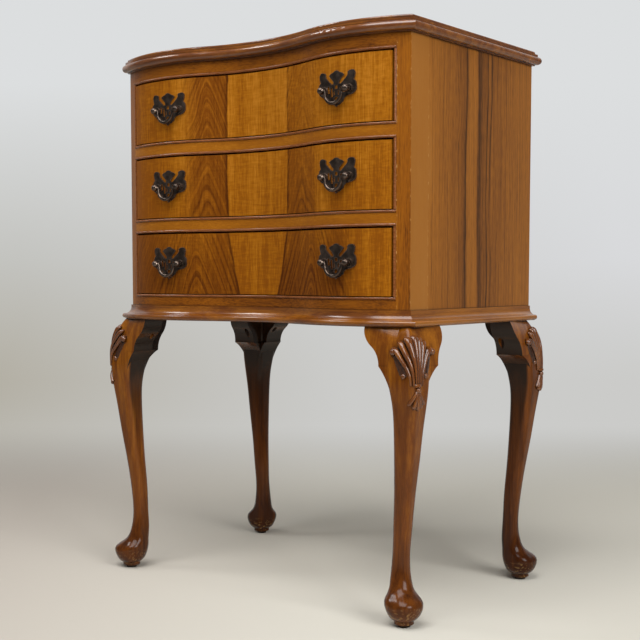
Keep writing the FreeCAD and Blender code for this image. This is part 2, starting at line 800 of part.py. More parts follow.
def make_drawer(index, name, posts):
    """Bowed front, dovetailed sides, back and a thin bottom in grooves."""
    base = dim.drawer_z + dim.drawer_pitch * index
    inner = dim.box_half - dim.box_side
    face = dim.front_proud
    behind = face - dim.front_thick
    shoulder = flank_y(inner, behind)

    panel = new_body(f"{name}_drawer_bottom")
    sketch = new_sketch(panel, "XY_Plane", base + dim.box_bottom_up)
    bowed_board(sketch, inner + dim.box_groove, behind + dim.box_groove, dim.box_back_y)
    pad(panel, sketch, dim.box_bottom_thick)

    board = block(f"{name}_side_board", (inner, shoulder, base),
                  (dim.box_half, dim.box_back_y, base + dim.box_side_high))
    tails = []
    for tail in range(TAILS):
        middle = base + dim.box_side_high * ((tail + 0.5) / TAILS)
        wedge = doc.addObject("Part::Wedge", f"{name}_tail")
        wide, waist = dim.tail_wide * 0.5, dim.tail_waist * 0.5
        shape = {"Xmin": measure(0), "Xmax": dim.box_side, "X2min": measure(0), "X2max": dim.box_side,
                 "Ymin": -dim.tail_long, "Ymax": measure(0), "Zmin": -wide, "Zmax": wide,
                 "Z2min": -waist, "Z2max": waist}
        for key, value in shape.items():
            wedge.setExpression(key, value.formula)
        place(wedge, (inner, shoulder, middle))
        tails.append(wedge)
    right = cut(f"{name}_drawer_right_side", fuse(f"{name}_tailed_side", board, *tails), panel)
    left = across(f"{name}_drawer_left_side", right)

    front = new_body(f"{name}_front_blank")
    sketch = new_sketch(front, "XY_Plane", base)
    drawer_front_plan(sketch, inner, face, behind)
    pad(front, sketch, dim.front_high)
    whole = cut(f"{name}_drawer_front", front, right, left, panel, posts)

    inside = base + dim.box_bottom_up + dim.box_bottom_thick
    rear = block(f"{name}_drawer_back", (-inner, dim.box_back_y - dim.box_side, inside),
                 (inner, dim.box_back_y, inside + dim.box_back_high))
    for label, item in (("front", whole), ("left_side", left), ("right_side", right), ("back", rear),
                        ("bottom", panel)):
        node(f"{name}_drawer_{label}", item)


def drawer_front_plan(sketch, inner, face, behind):
    """Plan of a drawer front: parallel bowed faces, with a flat shoulder behind each end for the side."""
    left, _, right = bow(sketch, dim.box_half, face)
    back_left, _, back_right = bow(sketch, inner, behind)
    shoulder = flank_y(inner, behind)
    for end, x, front_arc, front_point, back_arc, back_point in (
            (dim.box_half, inner, right, 2, back_right, 2), (-dim.box_half, -inner, left, 1, back_left, 1)):
        edge = side_line(sketch, end, flank_y(dim.box_half, face), shoulder)
        ledge = line(sketch, (end, shoulder), (x, shoulder))
        join(sketch, front_arc, front_point, edge, 1)
        join(sketch, edge, 2, ledge, 1)
        join(sketch, ledge, 2, back_arc, back_point)
        sketch.addConstraint(Sketcher.Constraint("Horizontal", ledge))
        pin(sketch, ledge, 2, x=x)


# Handles

def handle_spot():
    """Where the handle's frame stands on the right flank, and its turn about Z in degrees."""
    radius = dim.flank_radius + dim.front_proud
    turn = f"asin(({dim.handle_x.formula} - {dim.crest_x.formula}) / {radius.formula})"
    return (dim.handle_x, flank_y(dim.handle_x, dim.front_proud)), turn


def on_drawer(label, item, index):
    """A copy of a handle piece, stood in its place on one drawer."""
    (x, y), turn = handle_spot()
    copy = group(label, [item])
    place(copy, (x, y, dim.drawer_z + dim.drawer_pitch * index + dim.handle_up))
    copy.setExpression("Placement.Rotation.Angle", turn)
    return copy


def make_post():
    """Post with a round head and rosette in front and a long shank through the drawer front."""
    shank = rod("post_shank", dim.post_round, dim.post_long + dim.head_out,
                (dim.post_half, -dim.head_out, 0), "Y")
    rosette = rod("post_rosette", dim.rosette_round, dim.rosette_thick + dim.rosette_sunk,
                  (dim.post_half, -dim.rosette_thick, 0), "Y")
    head = doc.addObject("Part::Sphere", "post_head")
    head.setExpression("Radius", dim.head_round.formula)
    place(head, (dim.post_half, -dim.head_out, 0))
    mouth = dim.post_half - dim.head_round - dim.eye_spare
    eye = rod("post_eye", dim.bail_wire + dim.bail_play, dim.bail_pin + dim.eye_spare - mouth,
              (mouth, -dim.head_out, 0), "X")
    return cut("post", fuse("post_solid", shank, rosette, head), eye)


def slit_corners(start, end, half, side):
    """Corners of one slit in a plate, on its right (1) or left (-1) half."""
    run, rise = end[0] - start[0], end[1] - start[1]
    length = math.hypot(run, rise)
    x, z = -rise / length * half, run / length * half
    corners = ((start[0] + x, start[1] + z), (end[0] + x, end[1] + z),
               (end[0] - x, end[1] - z), (start[0] - x, start[1] - z))
    return [(dim.plate_half * (a * side), dim.plate_rise * b) for a, b in corners]


def make_plate(posts):
    """Pierced batwing plate bent to the flank it lies on."""
    body = new_body("plate_outline")
    sketch = new_sketch(body, "XZ_Plane", 0)
    right = [(dim.plate_half * x, (dim.plate_rise if z > 0 else dim.plate_drop) * z)
             for x, z in PLATE_OUTLINE]
    left = [(-x, z) for x, z in right[-2:0:-1]]
    polygon(sketch, right + left)
    pad(body, sketch, dim.plate_blank, midplane=True)
    slits = new_body("plate_slits")
    sketch = new_sketch(slits, "XZ_Plane", 0)
    for slit in PLATE_SLITS:
        in_middle = slit[0][0] == 0
        for side in (1,) if in_middle else (1, -1):
            polygon(sketch, slit_corners(*slit, side))
    pad(slits, sketch, dim.plate_blank, midplane=True)
    radius = dim.flank_radius + dim.front_proud
    middle = (0, radius, -dim.sheet_tall * 0.5)
    shell = cut("plate_sheet", rod("plate_face", radius + dim.plate_thick, dim.sheet_tall, middle),
                rod("plate_seat", radius, dim.sheet_tall, middle))
    return cut("plate", common("plate_bent", body, shell), posts, slits)


def make_bail():
    """Swinging bail: a wire bent to a deep bow whose ends turn out into the posts."""
    body = new_body("bail_wire")
    start, elbow, drop, end = dim.bail_start, dim.bail_elbow, dim.bail_drop, dim.bail_pin
    rise = drop - elbow
    bend = (start * start + rise * rise - elbow * elbow) / (drop * 2)
    path = new_sketch(body, "XZ_Plane", dim.head_out)
    s, k, e, r, low = (m.number for m in (start, elbow, end, bend, bend - drop))
    share = k / (r + k)
    meet_x, meet_z = s * (1 - share), -k + (low + k) * share
    pin_left = line(path, (-e, 0), (-s, 0))
    elbow_left = arc(path, (-s, -k), k, (-meet_x, meet_z), (-s, 0))
    loop = arc(path, (0, low), r, (-meet_x, meet_z), (meet_x, meet_z))
    elbow_right = arc(path, (s, -k), k, (s, 0), (meet_x, meet_z))
    pin_right = line(path, (s, 0), (e, 0))
    chain = ((pin_left, 2, elbow_left, 2), (elbow_left, 1, loop, 1), (loop, 2, elbow_right, 2),
             (elbow_right, 1, pin_right, 1))
    for joint in chain:
        path.addConstraint(Sketcher.Constraint("Tangent", *joint))
    path.addConstraint(Sketcher.Constraint("Horizontal", pin_left))
    pin(path, pin_left, 1, -end, 0)
    pin(path, pin_right, 2, end, 0)
    for geometry, sense in ((elbow_left, -1), (elbow_right, 1)):
        pin(path, geometry, 3, start * sense, -elbow)
    pin(path, loop, 3, 0, bend - drop)
    section = new_sketch(body, "YZ_Plane", -end)
    centre = FreeCAD.Vector(-dim.head_out.number, 0, 0)
    circle = section.addGeometry(Part.Circle(centre, FreeCAD.Vector(0, 0, 1), dim.bail_wire.number))
    pin(section, circle, 3, -dim.head_out, 0)
    dimension(section, "Radius", (circle,), dim.bail_wire)
    sweep = body.newObject("PartDesign::AdditivePipe", "bail_sweep")
    sweep.Profile = section
    sweep.Spine = (path, [f"Edge{i}" for i in range(1, path.GeometryCount + 1)])
    return body


def make_nut(post):
    nut = doc.addObject("Part::Prism", "nut_blank")
    nut.Polygon = 6
    nut.setExpression("Circumradius", dim.nut_round.formula)
    nut.setExpression("Height", dim.nut_high.formula)
    nut.Placement = FreeCAD.Placement(FreeCAD.Vector(), FreeCAD.Rotation(FreeCAD.Vector(1, 0, 0), -90))
    place(nut, (dim.post_half, dim.nut_in, 0))
    return cut("nut", nut, post)


def make_handles():
    """Two handles on each drawer. Gives each drawer's four posts, which its front is bored for."""
    post = make_post()
    pair = group("post_pair", [post, across("post_left", post)])
    nut = make_nut(post)
    nuts = group("nut_pair", [nut, across("nut_left", nut)])
    plate = make_plate(pair)
    bail = make_bail()
    posts = []
    for index, name in enumerate(DRAWERS):
        for label, item in (("handle_plates", plate), ("handle_posts", pair), ("handle_nuts", nuts)):
            right = on_drawer(f"{name}_{label}_right", item, index)
            whole = group(f"{name}_{label}", [right, across(f"{name}_{label}_left", right)])
            node(f"{name}_{label}", whole)
            if label == "handle_posts":
                posts.append(whole)
        right = on_drawer(f"{name}_right_bail", bail, index)
        node(f"{name}_right_bail", right)
        node(f"{name}_left_bail", across(f"{name}_left_bail", right))
    return posts


# Legs

def level_of(name):
    return {field: getattr(dim, f"{name}_{field}") for field in LEG_FIELDS}


def leg_section(body, name):
    """Rounded rectangle of the front right leg at one level."""
    size = level_of(name)
    corner = size["corner"]
    sketch = new_sketch(body, "XY_Plane", size["z"])
    right, left = dim.foot_x + size["outx"], dim.foot_x - size["inx"]
    front, rear = dim.foot_front_y - size["outy"], dim.foot_front_y + size["iny"]
    r = corner.number
    x0, x1, y0, y1 = left.number, right.number, front.number, rear.number
    arcs = [arc(sketch, (x0 + r, y0 + r), r, (x0, y0 + r), (x0 + r, y0)),
            arc(sketch, (x1 - r, y0 + r), r, (x1 - r, y0), (x1, y0 + r)),
            arc(sketch, (x1 - r, y1 - r), r, (x1, y1 - r), (x1 - r, y1)),
            arc(sketch, (x0 + r, y1 - r), r, (x0 + r, y1), (x0, y1 - r))]
    lines = [line(sketch, (x0 + r, y0), (x1 - r, y0)), line(sketch, (x1, y0 + r), (x1, y1 - r)),
             line(sketch, (x1 - r, y1), (x0 + r, y1)), line(sketch, (x0, y1 - r), (x0, y0 + r))]
    for i in range(4):
        sketch.addConstraint(Sketcher.Constraint("Tangent", arcs[i], 2, lines[i], 1))
        sketch.addConstraint(Sketcher.Constraint("Tangent", lines[i], 2, arcs[(i + 1) % 4], 1))
        sketch.addConstraint(Sketcher.Constraint("Horizontal" if i % 2 == 0 else "Vertical", lines[i]))
    for i in range(3):
        sketch.addConstraint(Sketcher.Constraint("Equal", arcs[i], arcs[i + 1]))
    dimension(sketch, "Radius", (arcs[0],), corner)
    pin(sketch, arcs[0], 3, left + corner, front + corner)
    pin(sketch, arcs[2], 3, right - corner, rear - corner)
    return sketch


def make_leg(screws):
    """Front right cabriole leg with its wings, its pad foot and the small turned disc under it."""
    body = new_body("leg_curve")
    sections = [leg_section(body, name) for name in LEG_LEVELS]
    loft = body.newObject("PartDesign::AdditiveLoft", "leg_loft")
    loft.Profile = sections[0]
    loft.Sections = sections[1:]
    disc = rod("foot_disc", dim.disc_round, dim.sole_z - dim.disc_z + dim.disc_sunk,
               (dim.foot_x, dim.foot_front_y, dim.disc_z))
    solid = fuse("leg_and_disc", body, disc, *[make_wing(front) for front in (True, False)])
    return solid, cut("front_right_leg", solid, screws)


def make_wing(front):
    """Stock left on the leg under a knee block: a ledge that sweeps down into the leg."""
    label = "front_wing" if front else "side_wing"
    body, sketch, origin, sense = beside_knee(f"{label}_outline", front)
    heel = dim.front_ear_heel if front else dim.side_ear_heel

    def at(reach, level):
        return origin + reach * sense, level

    top, low = dim.ear_low_z, dim.wing_low_z
    rise, run = top - low, heel - dim.wing_root
    radius = (rise * rise + run * run) / (run * 2)
    centre = at(dim.wing_root + radius, low)
    ends = [tuple(v.number for v in at(*p)) for p in ((heel, top), (dim.wing_root, low))]
    sweep = arc(sketch, tuple(v.number for v in centre), radius.number, *ends[::sense])
    high_end, low_end = (1, 2)[::sense]
    ledge = line(sketch, at(dim.ear_toe, top), at(heel, top))
    foot = line(sketch, at(dim.wing_root, low), at(dim.ear_toe, low))
    wall = line(sketch, at(dim.ear_toe, low), at(dim.ear_toe, top))
    pin(sketch, ledge, 1, *at(dim.ear_toe, top))
    pin(sketch, foot, 1, *at(dim.wing_root, low))
    pin(sketch, foot, 2, *at(dim.ear_toe, low))
    pin(sketch, sweep, 3, *centre)
    sketch.addConstraint(Sketcher.Constraint("Horizontal", ledge))
    join(sketch, ledge, 2, sweep, high_end)
    join(sketch, sweep, low_end, foot, 1)
    join(sketch, foot, 2, wall, 1)
    join(sketch, wall, 2, ledge, 1)
    pad(body, sketch, dim.stock_long)
    inner = {name: level_of(name)["iny" if front else "inx"] - getattr(dim, f"{name}_sink")
             for name in ("shoulder", "knee", "underknee", "calf")}
    return common(label, body, knee_stock(f"{label}_stock", front, inner))


def beside_knee(label, front):
    """Body and sketch for an outline along the front or the side, the foot's centre there and the sense."""
    body = new_body(label)
    if front:
        return body, new_sketch(body, "XZ_Plane", -dim.foot_front_y - dim.stock_inner), dim.foot_x, -1
    return body, new_sketch(body, "YZ_Plane", dim.foot_x - dim.stock_inner), dim.foot_front_y, 1


def knee_stock(label, front, inner):
    """Stock beside the knee, lofted through some levels: its face lies a little behind the leg's at each,
    and it goes inwards from the foot's centre as far as the level gives."""
    body = new_body(label)
    sections = []
    for name, depth in inner.items():
        size = level_of(name)
        sketch = new_sketch(body, "XY_Plane", size["z"])
        sink = getattr(dim, f"{name}_sink")
        flare = getattr(dim, f"{name}_flare") * dim.stock_long
        if front:
            face = dim.foot_front_y - size["outy"] + sink
            far, rear = dim.foot_x - dim.stock_long, dim.foot_front_y + depth
            polygon(sketch, [(dim.foot_x, face), (far, face - flare), (far, rear), (dim.foot_x, rear)])
        else:
            face = dim.foot_x + size["outx"] - sink
            far, rear = dim.foot_front_y + dim.stock_long, dim.foot_x - depth
            flared = face + flare * dim.side_flare
            polygon(sketch, [(face, dim.foot_front_y), (flared, far), (rear, far), (rear, dim.foot_front_y)])
        sections.append(sketch)
    loft = body.newObject("PartDesign::AdditiveLoft", f"{label}_loft")
    loft.Profile = sections[0]
    loft.Sections = sections[1:]
    return body


def make_ear(front):
    """Knee block that stands on a wing: flat top and bottom, with an ogee from its reach down to its heel."""
    label = "front_ear" if front else "side_ear"
    body, sketch, origin, sense = beside_knee(f"{label}_outline", front)
    reach, heel = getattr(dim, f"{label}_reach"), getattr(dim, f"{label}_heel")

    def at(out, level):
        return origin + out * sense, level

    top, low = dim.base_z, dim.ear_low_z
    fall = (top - low).number
    turn = 2 * math.atan2((reach - heel).number, fall)
    radius = fall / (2 * math.sin(turn))
    start, end = [tuple(v.number for v in at(*p)) for p in ((reach, top), (heel, low))]
    middle = ((start[0] + end[0]) / 2, (start[1] + end[1]) / 2)
    upper_ends, lower_ends = (middle, start), (middle, end)
    upper = arc(sketch, (start[0] - radius * sense, start[1]), radius, *upper_ends[::sense])
    lower = arc(sketch, (end[0] + radius * sense, end[1]), radius, *lower_ends[::sense])
    first, second = (1, 2)[::sense]
    head = line(sketch, at(dim.ear_toe, top), at(reach, top))
    sole = line(sketch, at(heel, low), at(dim.ear_toe, low))
    wall = line(sketch, at(dim.ear_toe, low), at(dim.ear_toe, top))
    pin(sketch, head, 1, *at(dim.ear_toe, top))
    pin(sketch, head, 2, *at(reach, top))
    pin(sketch, sole, 1, *at(heel, low))
    pin(sketch, sole, 2, *at(dim.ear_toe, low))
    join(sketch, head, 2, upper, second)
    sketch.addConstraint(Sketcher.Constraint("PointOnObject", upper, 3, head))
    sketch.addConstraint(Sketcher.Constraint("Tangent", upper, first, lower, first))
    sketch.addConstraint(Sketcher.Constraint("Equal", upper, lower))
    join(sketch, lower, second, sole, 1)
    sketch.addConstraint(Sketcher.Constraint("Horizontal", lower, 3, sole, 1))
    join(sketch, sole, 2, wall, 1)
    join(sketch, wall, 2, head, 1)
    pad(body, sketch, dim.stock_long)
    inner = {name: dim.ear_inner for name in ("crown", "neck", "shoulder", "knee")}
    return common(label, body, knee_stock(f"{label}_stock", front, inner))


def make_ears(leg):
    """The two knee blocks of the front right leg: one along the front, one along the side."""
    low = dim.ear_low_z - dim.ear_bore_spare
    spots = ((dim.foot_x - dim.front_ear_screw, dim.foot_front_y + dim.ear_screw_in),
             (dim.foot_x - dim.ear_screw_in, dim.foot_front_y + dim.side_ear_screw))
    bores = [rod(f"ear_bore_{i}", dim.screw_head + dim.ear_bore_spare, dim.ear_screw_z - low, (x, y, low))
             for i, (x, y) in enumerate(spots)]
    screws = [upright_screw(f"ear_screw_{i}", x, y, dim.ear_screw_z, dim.ear_screw_long, True)
              for i, (x, y) in enumerate(spots)]
    ears = [make_ear(front) for front in (True, False)]
    return [cut(f"ear_{i}", ears[i], leg, bores[i], screws[i]) for i in range(2)], screws


def on_four_corners(label, items):
    """The pieces of the front right corner with their mirror images at the other three."""
    line_y = (dim.foot_front_y + dim.foot_back_y) * 0.5
    pieces = []
    for i, item in enumerate(items):
        rear = mirrored(f"{label}_rear_{i}", item, (0, 1, 0), line_y)
        pieces += [item, across(f"{label}_left_{i}", item), rear, across(f"{label}_rear_left_{i}", rear)]
    return pieces


def make_glides():
    glide = rod("glide", dim.glide_round, dim.disc_z, (dim.foot_x, dim.foot_front_y, 0))
    node("foot_glides", group("foot_glides", on_four_corners("glide", [glide])))


# Screws

def upright_screw(label, x, y, head_z, long, upwards):
    """Screw along Z with its head at a level and its shank going up or down from there."""
    if upwards:
        head = rod(f"{label}_head", dim.screw_head, dim.screw_head_high, (x, y, head_z))
        shank = rod(f"{label}_shank", dim.screw_shank, long, (x, y, head_z))
    else:
        head = rod(f"{label}_head", dim.screw_head, dim.screw_head_high, (x, y, head_z - dim.screw_head_high))
        shank = rod(f"{label}_shank", dim.screw_shank, long, (x, y, head_z - long))
    return fuse(label, head, shank)


def make_leg_screws():
    spots = ((dim.leg_screw_near, dim.leg_screw_mid), (dim.leg_screw_far, dim.leg_screw_low))
    screws = [upright_screw(f"leg_screw_{i}", dim.foot_x - x, dim.foot_front_y + y, dim.floor_z,
                            dim.leg_screw_long, False) for i, (x, y) in enumerate(spots)]
    return group("leg_screws", on_four_corners("leg_screw", screws))


def make_top_screws():
    """Screws up through the front and back top rails into the top board."""
    rail_low = opening(len(DRAWERS) - 1)[1] + dim.cock_thick
    back_low = dim.case_top - dim.back_rail_high
    back_y = dim.back_y - dim.back_thick - dim.back_rail_deep * 0.5
    spots = ((dim.top_screw_mid_x, dim.top_screw_mid_y, rail_low),
             (dim.top_screw_end_x, dim.top_screw_end_y, rail_low),
             (dim.top_screw_back_x, back_y, back_low))
    pieces = []
    for i, (x, y, z) in enumerate(spots):
        screw = upright_screw(f"top_screw_{i}", x, y, z, dim.top_screw_long, True)
        pieces += [screw, across(f"top_screw_left_{i}", screw)]
    return group("top_screws", pieces)


def make_back_screws():
    """Screws through the back panel into the sides and the back rail."""
    spots = [(dim.back_screw_x, dim.floor_z + dim.back_screw_low + dim.back_screw_pitch * i)
             for i in range(SIDE_SCREWS)]
    spots.append((dim.rail_screw_x, dim.case_top - dim.back_rail_high * 0.5))
    pieces = []
    for i, (x, z) in enumerate(spots):
        head = rod(f"back_head_{i}", dim.screw_head, dim.back_screw_head, (x, dim.back_y, z), "Y")
        shank = rod(f"back_shank_{i}", dim.screw_shank, dim.back_screw_long,
                    (x, dim.back_y - dim.back_screw_long, z), "Y")
        screw = fuse(f"back_screw_{i}", head, shank)
        pieces += [screw, across(f"back_screw_left_{i}", screw)]
    return group("back_panel_screws", pieces)


def make_chest():
    leg_screws = make_leg_screws()
    top_screws = make_top_screws()
    back_screws = make_back_screws()
    leg_solid, leg = make_leg(leg_screws)
    ears, ear_screws = make_ears(leg_solid)
    ear_screw_group = group("knee_block_screws", on_four_corners("ear_screw_set", ear_screws))
    legs = on_four_corners("leg_set", [leg])
    for name, item in zip(("front_right_leg", "front_left_leg", "back_right_leg", "back_left_leg"), legs):
        node(name, item)
    node("knee_blocks", group("knee_blocks", on_four_corners("ear_set", ears)))
    node("knee_block_screws", ear_screw_group)
    node("leg_screws", leg_screws)
    make_glides()
    make_top_board(top_screws)
    node("top_screws", top_screws)
    make_side_panels(back_screws)
    make_stiles()
    make_rails(top_screws)
    make_cock_beads()
    make_back(back_screws, top_screws)
    node("back_panel_screws", back_screws)
    make_bottom_board(leg_screws, ear_screw_group)
    make_runners()
    make_stops()
    make_base_mouldings()
    posts = make_handles()
    for index, name in enumerate(DRAWERS):
        make_drawer(index, name, posts[index])


def write_parts():
    """Check every object and sub-part, then write one file for each sub-part."""
    doc.recompute()
    failed = [item.Label for item in doc.Objects if "Invalid" in item.State or "Error" in item.State]
    if failed:
        raise RuntimeError(f"objects failed: {failed}")
    bad = [item.Label for item in nodes if item.Shape.isNull() or not item.Shape.isValid()]
    if bad:
        raise RuntimeError(f"sub-parts without a valid shape: {bad}")
    os.makedirs("parts", exist_ok=True)
    for item in nodes:
        solids = item.Shape.Solids
        shape = solids[0] if len(solids) == 1 else Part.makeCompound(solids)
        shape.exportStep(f"parts/{item.Label}.step")
        print(item.Label, len(solids), round(item.Shape.Volume / 1000, 2))


make_chest()
write_parts()
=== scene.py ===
"""Looks of a small walnut chest of drawers: its finishes, carved knees, swelled bails and the stage."""
import json
import math

import bpy
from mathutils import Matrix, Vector
from mathutils.bvhtree import BVHTree

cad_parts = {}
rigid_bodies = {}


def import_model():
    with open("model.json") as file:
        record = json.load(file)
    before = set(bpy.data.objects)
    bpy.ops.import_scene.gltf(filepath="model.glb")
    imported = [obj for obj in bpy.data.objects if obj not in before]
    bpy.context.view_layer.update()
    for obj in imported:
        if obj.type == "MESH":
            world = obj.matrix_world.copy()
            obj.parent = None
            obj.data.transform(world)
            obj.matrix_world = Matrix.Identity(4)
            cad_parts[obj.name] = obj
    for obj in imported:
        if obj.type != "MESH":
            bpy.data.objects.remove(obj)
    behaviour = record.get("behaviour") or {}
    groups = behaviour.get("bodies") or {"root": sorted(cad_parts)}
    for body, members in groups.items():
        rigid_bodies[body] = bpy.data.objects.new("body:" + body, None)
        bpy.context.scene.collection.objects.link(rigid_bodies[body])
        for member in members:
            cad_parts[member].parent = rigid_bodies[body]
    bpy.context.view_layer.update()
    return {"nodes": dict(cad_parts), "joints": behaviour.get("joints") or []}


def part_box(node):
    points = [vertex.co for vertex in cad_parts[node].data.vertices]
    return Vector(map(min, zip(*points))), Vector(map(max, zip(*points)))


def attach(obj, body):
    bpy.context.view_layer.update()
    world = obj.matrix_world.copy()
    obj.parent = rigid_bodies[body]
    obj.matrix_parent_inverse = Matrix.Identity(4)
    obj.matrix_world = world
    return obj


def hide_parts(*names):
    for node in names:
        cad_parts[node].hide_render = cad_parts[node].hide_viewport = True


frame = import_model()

bl_info = {
    "name": "Walnut Chest of Drawers",
    "version": (1, 0, 0),
    "blender": (4, 5, 0),
    "location": "View3D > Sidebar > Chest",
    "description": "Dresses the chest's solids with veneer, carving, metalwork and a studio",
    "category": "Object",
}

MM = 0.001
DRAWERS = ("lower", "middle", "upper")
SIDES = ("left", "right")
# Pores are about 0.2 mm wide in real walnut and are drawn as wide as they need to be to show
PORE_MM = 1.0
# Senses of the sideways and forward axes that turn the front right leg's carving into another leg's
LEGS = {"front_left": (-1, 1), "back_right": (1, -1), "back_left": (-1, -1)}


def srgb(code):
    """Linear colour with alpha from an sRGB hex code."""
    channels = [int(code[i:i + 2], 16) / 255 for i in (0, 2, 4)]
    return tuple(c / 12.92 if c <= 0.04045 else ((c + 0.055) / 1.055) ** 2.4 for c in channels) + (1.0,)


def colour(label, code, words):
    """Colour property that a user can change."""
    return bpy.props.FloatVectorProperty(name=label, description=words, subtype="COLOR", size=4, min=0, max=1,
                                         default=srgb(code))


def length(label, size_mm, words):
    """Length property, given in millimetres and kept in metres."""
    return bpy.props.FloatProperty(name=label, description=words, subtype="DISTANCE", unit="LENGTH", min=0,
                                   default=size_mm * MM)


def angle(label, degrees, words):
    """Angle property, given in degrees and kept in radians."""
    return bpy.props.FloatProperty(name=label, description=words, subtype="ANGLE", unit="ROTATION",
                                   default=math.radians(degrees))


class ChestFinish(bpy.types.PropertyGroup):
    """Colours of the woods and the metal."""
    gold_pale: colour("Pale gold", "b57420", "Palest streaks of the drawer fronts' sapwood")
    gold: colour("Gold", "a06110", "Main colour of the drawer fronts' sapwood")
    gold_deep: colour("Deep gold", "864b0c", "Deepest streaks of the drawer fronts' sapwood")
    heart_light: colour("Light heart", "935612", "Pale rings of the drawer fronts' heartwood")
    heart: colour("Heart", "76400c", "Main colour of the drawer fronts' heartwood")
    heart_line: colour("Heart line", "502708", "Dark rings of the drawer fronts' heartwood")
    side_pale: colour("Pale side", "a06b30", "Pale strip of the sides beside the front")
    side_light: colour("Light side", "9a6020", "Light bands of the side panels")
    side_brown: colour("Brown side", "784718", "Brown bands of the side panels")
    side_dark: colour("Dark side streak", "3a210b", "Thin dark streaks of the side panels")
    solid_light: colour("Light solid walnut", "985c14", "Rubbed parts of the legs and mouldings")
    solid_brown: colour("Brown solid walnut", "6c390c", "Main colour of the legs and mouldings")
    solid_dark: colour("Dark solid walnut", "3a1a05", "Dark growth lines of the legs and mouldings")
    bead: colour("Drawer bead", "8c5227", "Beads round the drawers")
    # The dark polish colour also paints shade into hollows and inner corners
    polish: colour("Old polish", "1d0e06", "Dark polish gathered in the hollows")
    # Dark stain on the inner faces of the legs, which also paints the shade that falls there
    stain_and_shade: colour("Dark stain", "27190f", "Stain on the inner faces of the legs and knee blocks")
    ground: colour("Punched ground", "452817", "Punched strips beside the carved shells")
    brass_dark: colour("Dark brass", "463b34", "Darkened brass of the handles")
    brass_worn: colour("Worn brass", "6f6056", "Brass rubbed on the handles' high spots")
    # Brass rubbed bright on the edges, which also paints a highlight along them
    brass_rubbed_and_highlight: colour("Rubbed brass", "b79f8c", "Brass rubbed bright on the handles' edges")
    worn_edge: colour("Worn edge", "c99c5c", "Bare wood where the varnish has worn off an edge")
    hardwood: colour("Pale hardwood", "b08c5c", "Drawer linings and runners")
    plywood: colour("Plywood", "a57e4e", "Drawer bottoms and the back panel")
    nut_brass: colour("Nut brass", "9c8350", "Nuts behind the handles")
    screw_steel: colour("Screw steel", "8c8a86", "Wood screws")
    glide_steel: colour("Glide steel", "3a332d", "Glides under the feet")


class ChestCarving(bpy.types.PropertyGroup):
    """Sizes of the shell carved on each knee; angles run round an upright line inside the knee."""
    axis_in: length("Axis inset", 31, "From the leg's outer side to the line that the shell is set out from")
    axis_back: length("Axis depth", 140, "From the middle of the chest forward to that line")
    facing: angle("Facing", -28, "Direction of the shell's middle, from the right towards the front")
    fan: angle("Fan", 52, "Turn from the shell's middle to its outer rib's upper end")
    root_fan: angle("Root fan", 15, "Turn from the shell's middle to its outer rib's lower end")
    root_height: length("Root height", 299, "Height of the ribs' lower ends above the floor")
    crown_height: length("Crown height", 355, "Height of the middle ribs' upper ends above the floor")
    droop: length("Droop", 14, "How much lower the outer ribs end than the middle ones")
    rib_radius: length("Rib radius", 4.4, "Radius of a rib near its upper end")
    root_radius: length("Rib root radius", 1.35, "Radius of a rib at its lower end")
    ribs: bpy.props.IntProperty(name="Ribs", description="Ribs of a shell", default=7, min=5, max=15)


class ChestBail(bpy.types.PropertyGroup):
    """Sizes of the swinging bails."""
    pin_end: length("Pin end", 18.8, "From the middle to the end of a pin in its post")
    elbow_start: length("Elbow start", 15.9, "From the middle to where the wire starts to bend down")
    elbow_radius: length("Elbow radius", 2.3, "Radius of the bend beside each post")
    drop: length("Drop", 16.8, "From the pins down to the middle of the loop's wire")
    pin_radius: length("Pin radius", 1.55, "Radius of the wire where it enters the posts")
    swell_radius: length("Swell radius", 2.5, "Radius of the wire at the lowest point")


class ChestStage(bpy.types.PropertyGroup):
    """Camera and surroundings."""
    lens: bpy.props.FloatProperty(name="Lens", description="Focal length on a 36 mm sensor", default=66.19,
                                  min=10, subtype="DISTANCE_CAMERA", unit="CAMERA")
    shift: bpy.props.FloatProperty(name="Lens shift", description="Upward shift, in widths of the sensor",
                                   default=0.0625)
    place: bpy.props.FloatVectorProperty(name="Camera", description="Place of the camera", size=3,
                                         default=(1.0398, -1.32855, 0.431), subtype="TRANSLATION",
                                         unit="LENGTH")
    turn: angle("Turn", 38.16, "Turn of the camera and the paper round the chest")
    tilt: angle("Tilt", 4.13, "How far the camera looks down")
    air: colour("Air", "dfe1e2", "Faint light from all round")
    air_strength: bpy.props.FloatProperty(name="Air strength", description="Strength of that light",
                                          default=0.22, min=0)
    # Painted shade and light on the paper: darker on the left and low on the wall, lighter on the right and
    # at the top
    shaded_floor_left: colour("Left floor", "b8b0a6", "Studio floor on the left, away from the light")
    floor: colour("Floor", "c9c5ba", "Pale studio floor")
    low_left: colour("Low left wall", "b3afa4", "Lower part of the studio wall on the left")
    low_right: colour("Low right wall", "cbcbc9", "Lower part of the studio wall on the right")
    wall_left: colour("Left wall", "c3c3bf", "Middle of the studio wall on the left")
    wall_right: colour("Right wall", "d8d9db", "Middle of the studio wall on the right")
    wall_top: colour("Top wall", "dcdedf", "Upper part of the studio wall")


# Nodes

def node(tree, kind, inputs=None, stops=None, **settings):
    """Add a node with its settings, its links or values by input, and its colour stops."""
    made = tree.nodes.new(kind)
    for name, value in settings.items():
        setattr(made, name, value)
    for key, value in (inputs or {}).items():
        if isinstance(value, bpy.types.NodeSocket):
            tree.links.new(value, made.inputs[key])
        else:
            made.inputs[key].default_value = value
    if stops:
        points = made.color_ramp.elements
        while len(points) < len(stops):
            points.new(0.5)
        for point, (position, tone) in zip(points, stops):
            point.position = position
            point.color = tone
    return made


def new_material(name):
    """Empty material with its shader and the object's own coordinates."""
    material = bpy.data.materials.new(name)
    material.use_nodes = True
    tree = material.node_tree
    shader = tree.nodes["Principled BSDF"]
    place = node(tree, "ShaderNodeTexCoord").outputs["Object"]
    return material, tree, shader, place


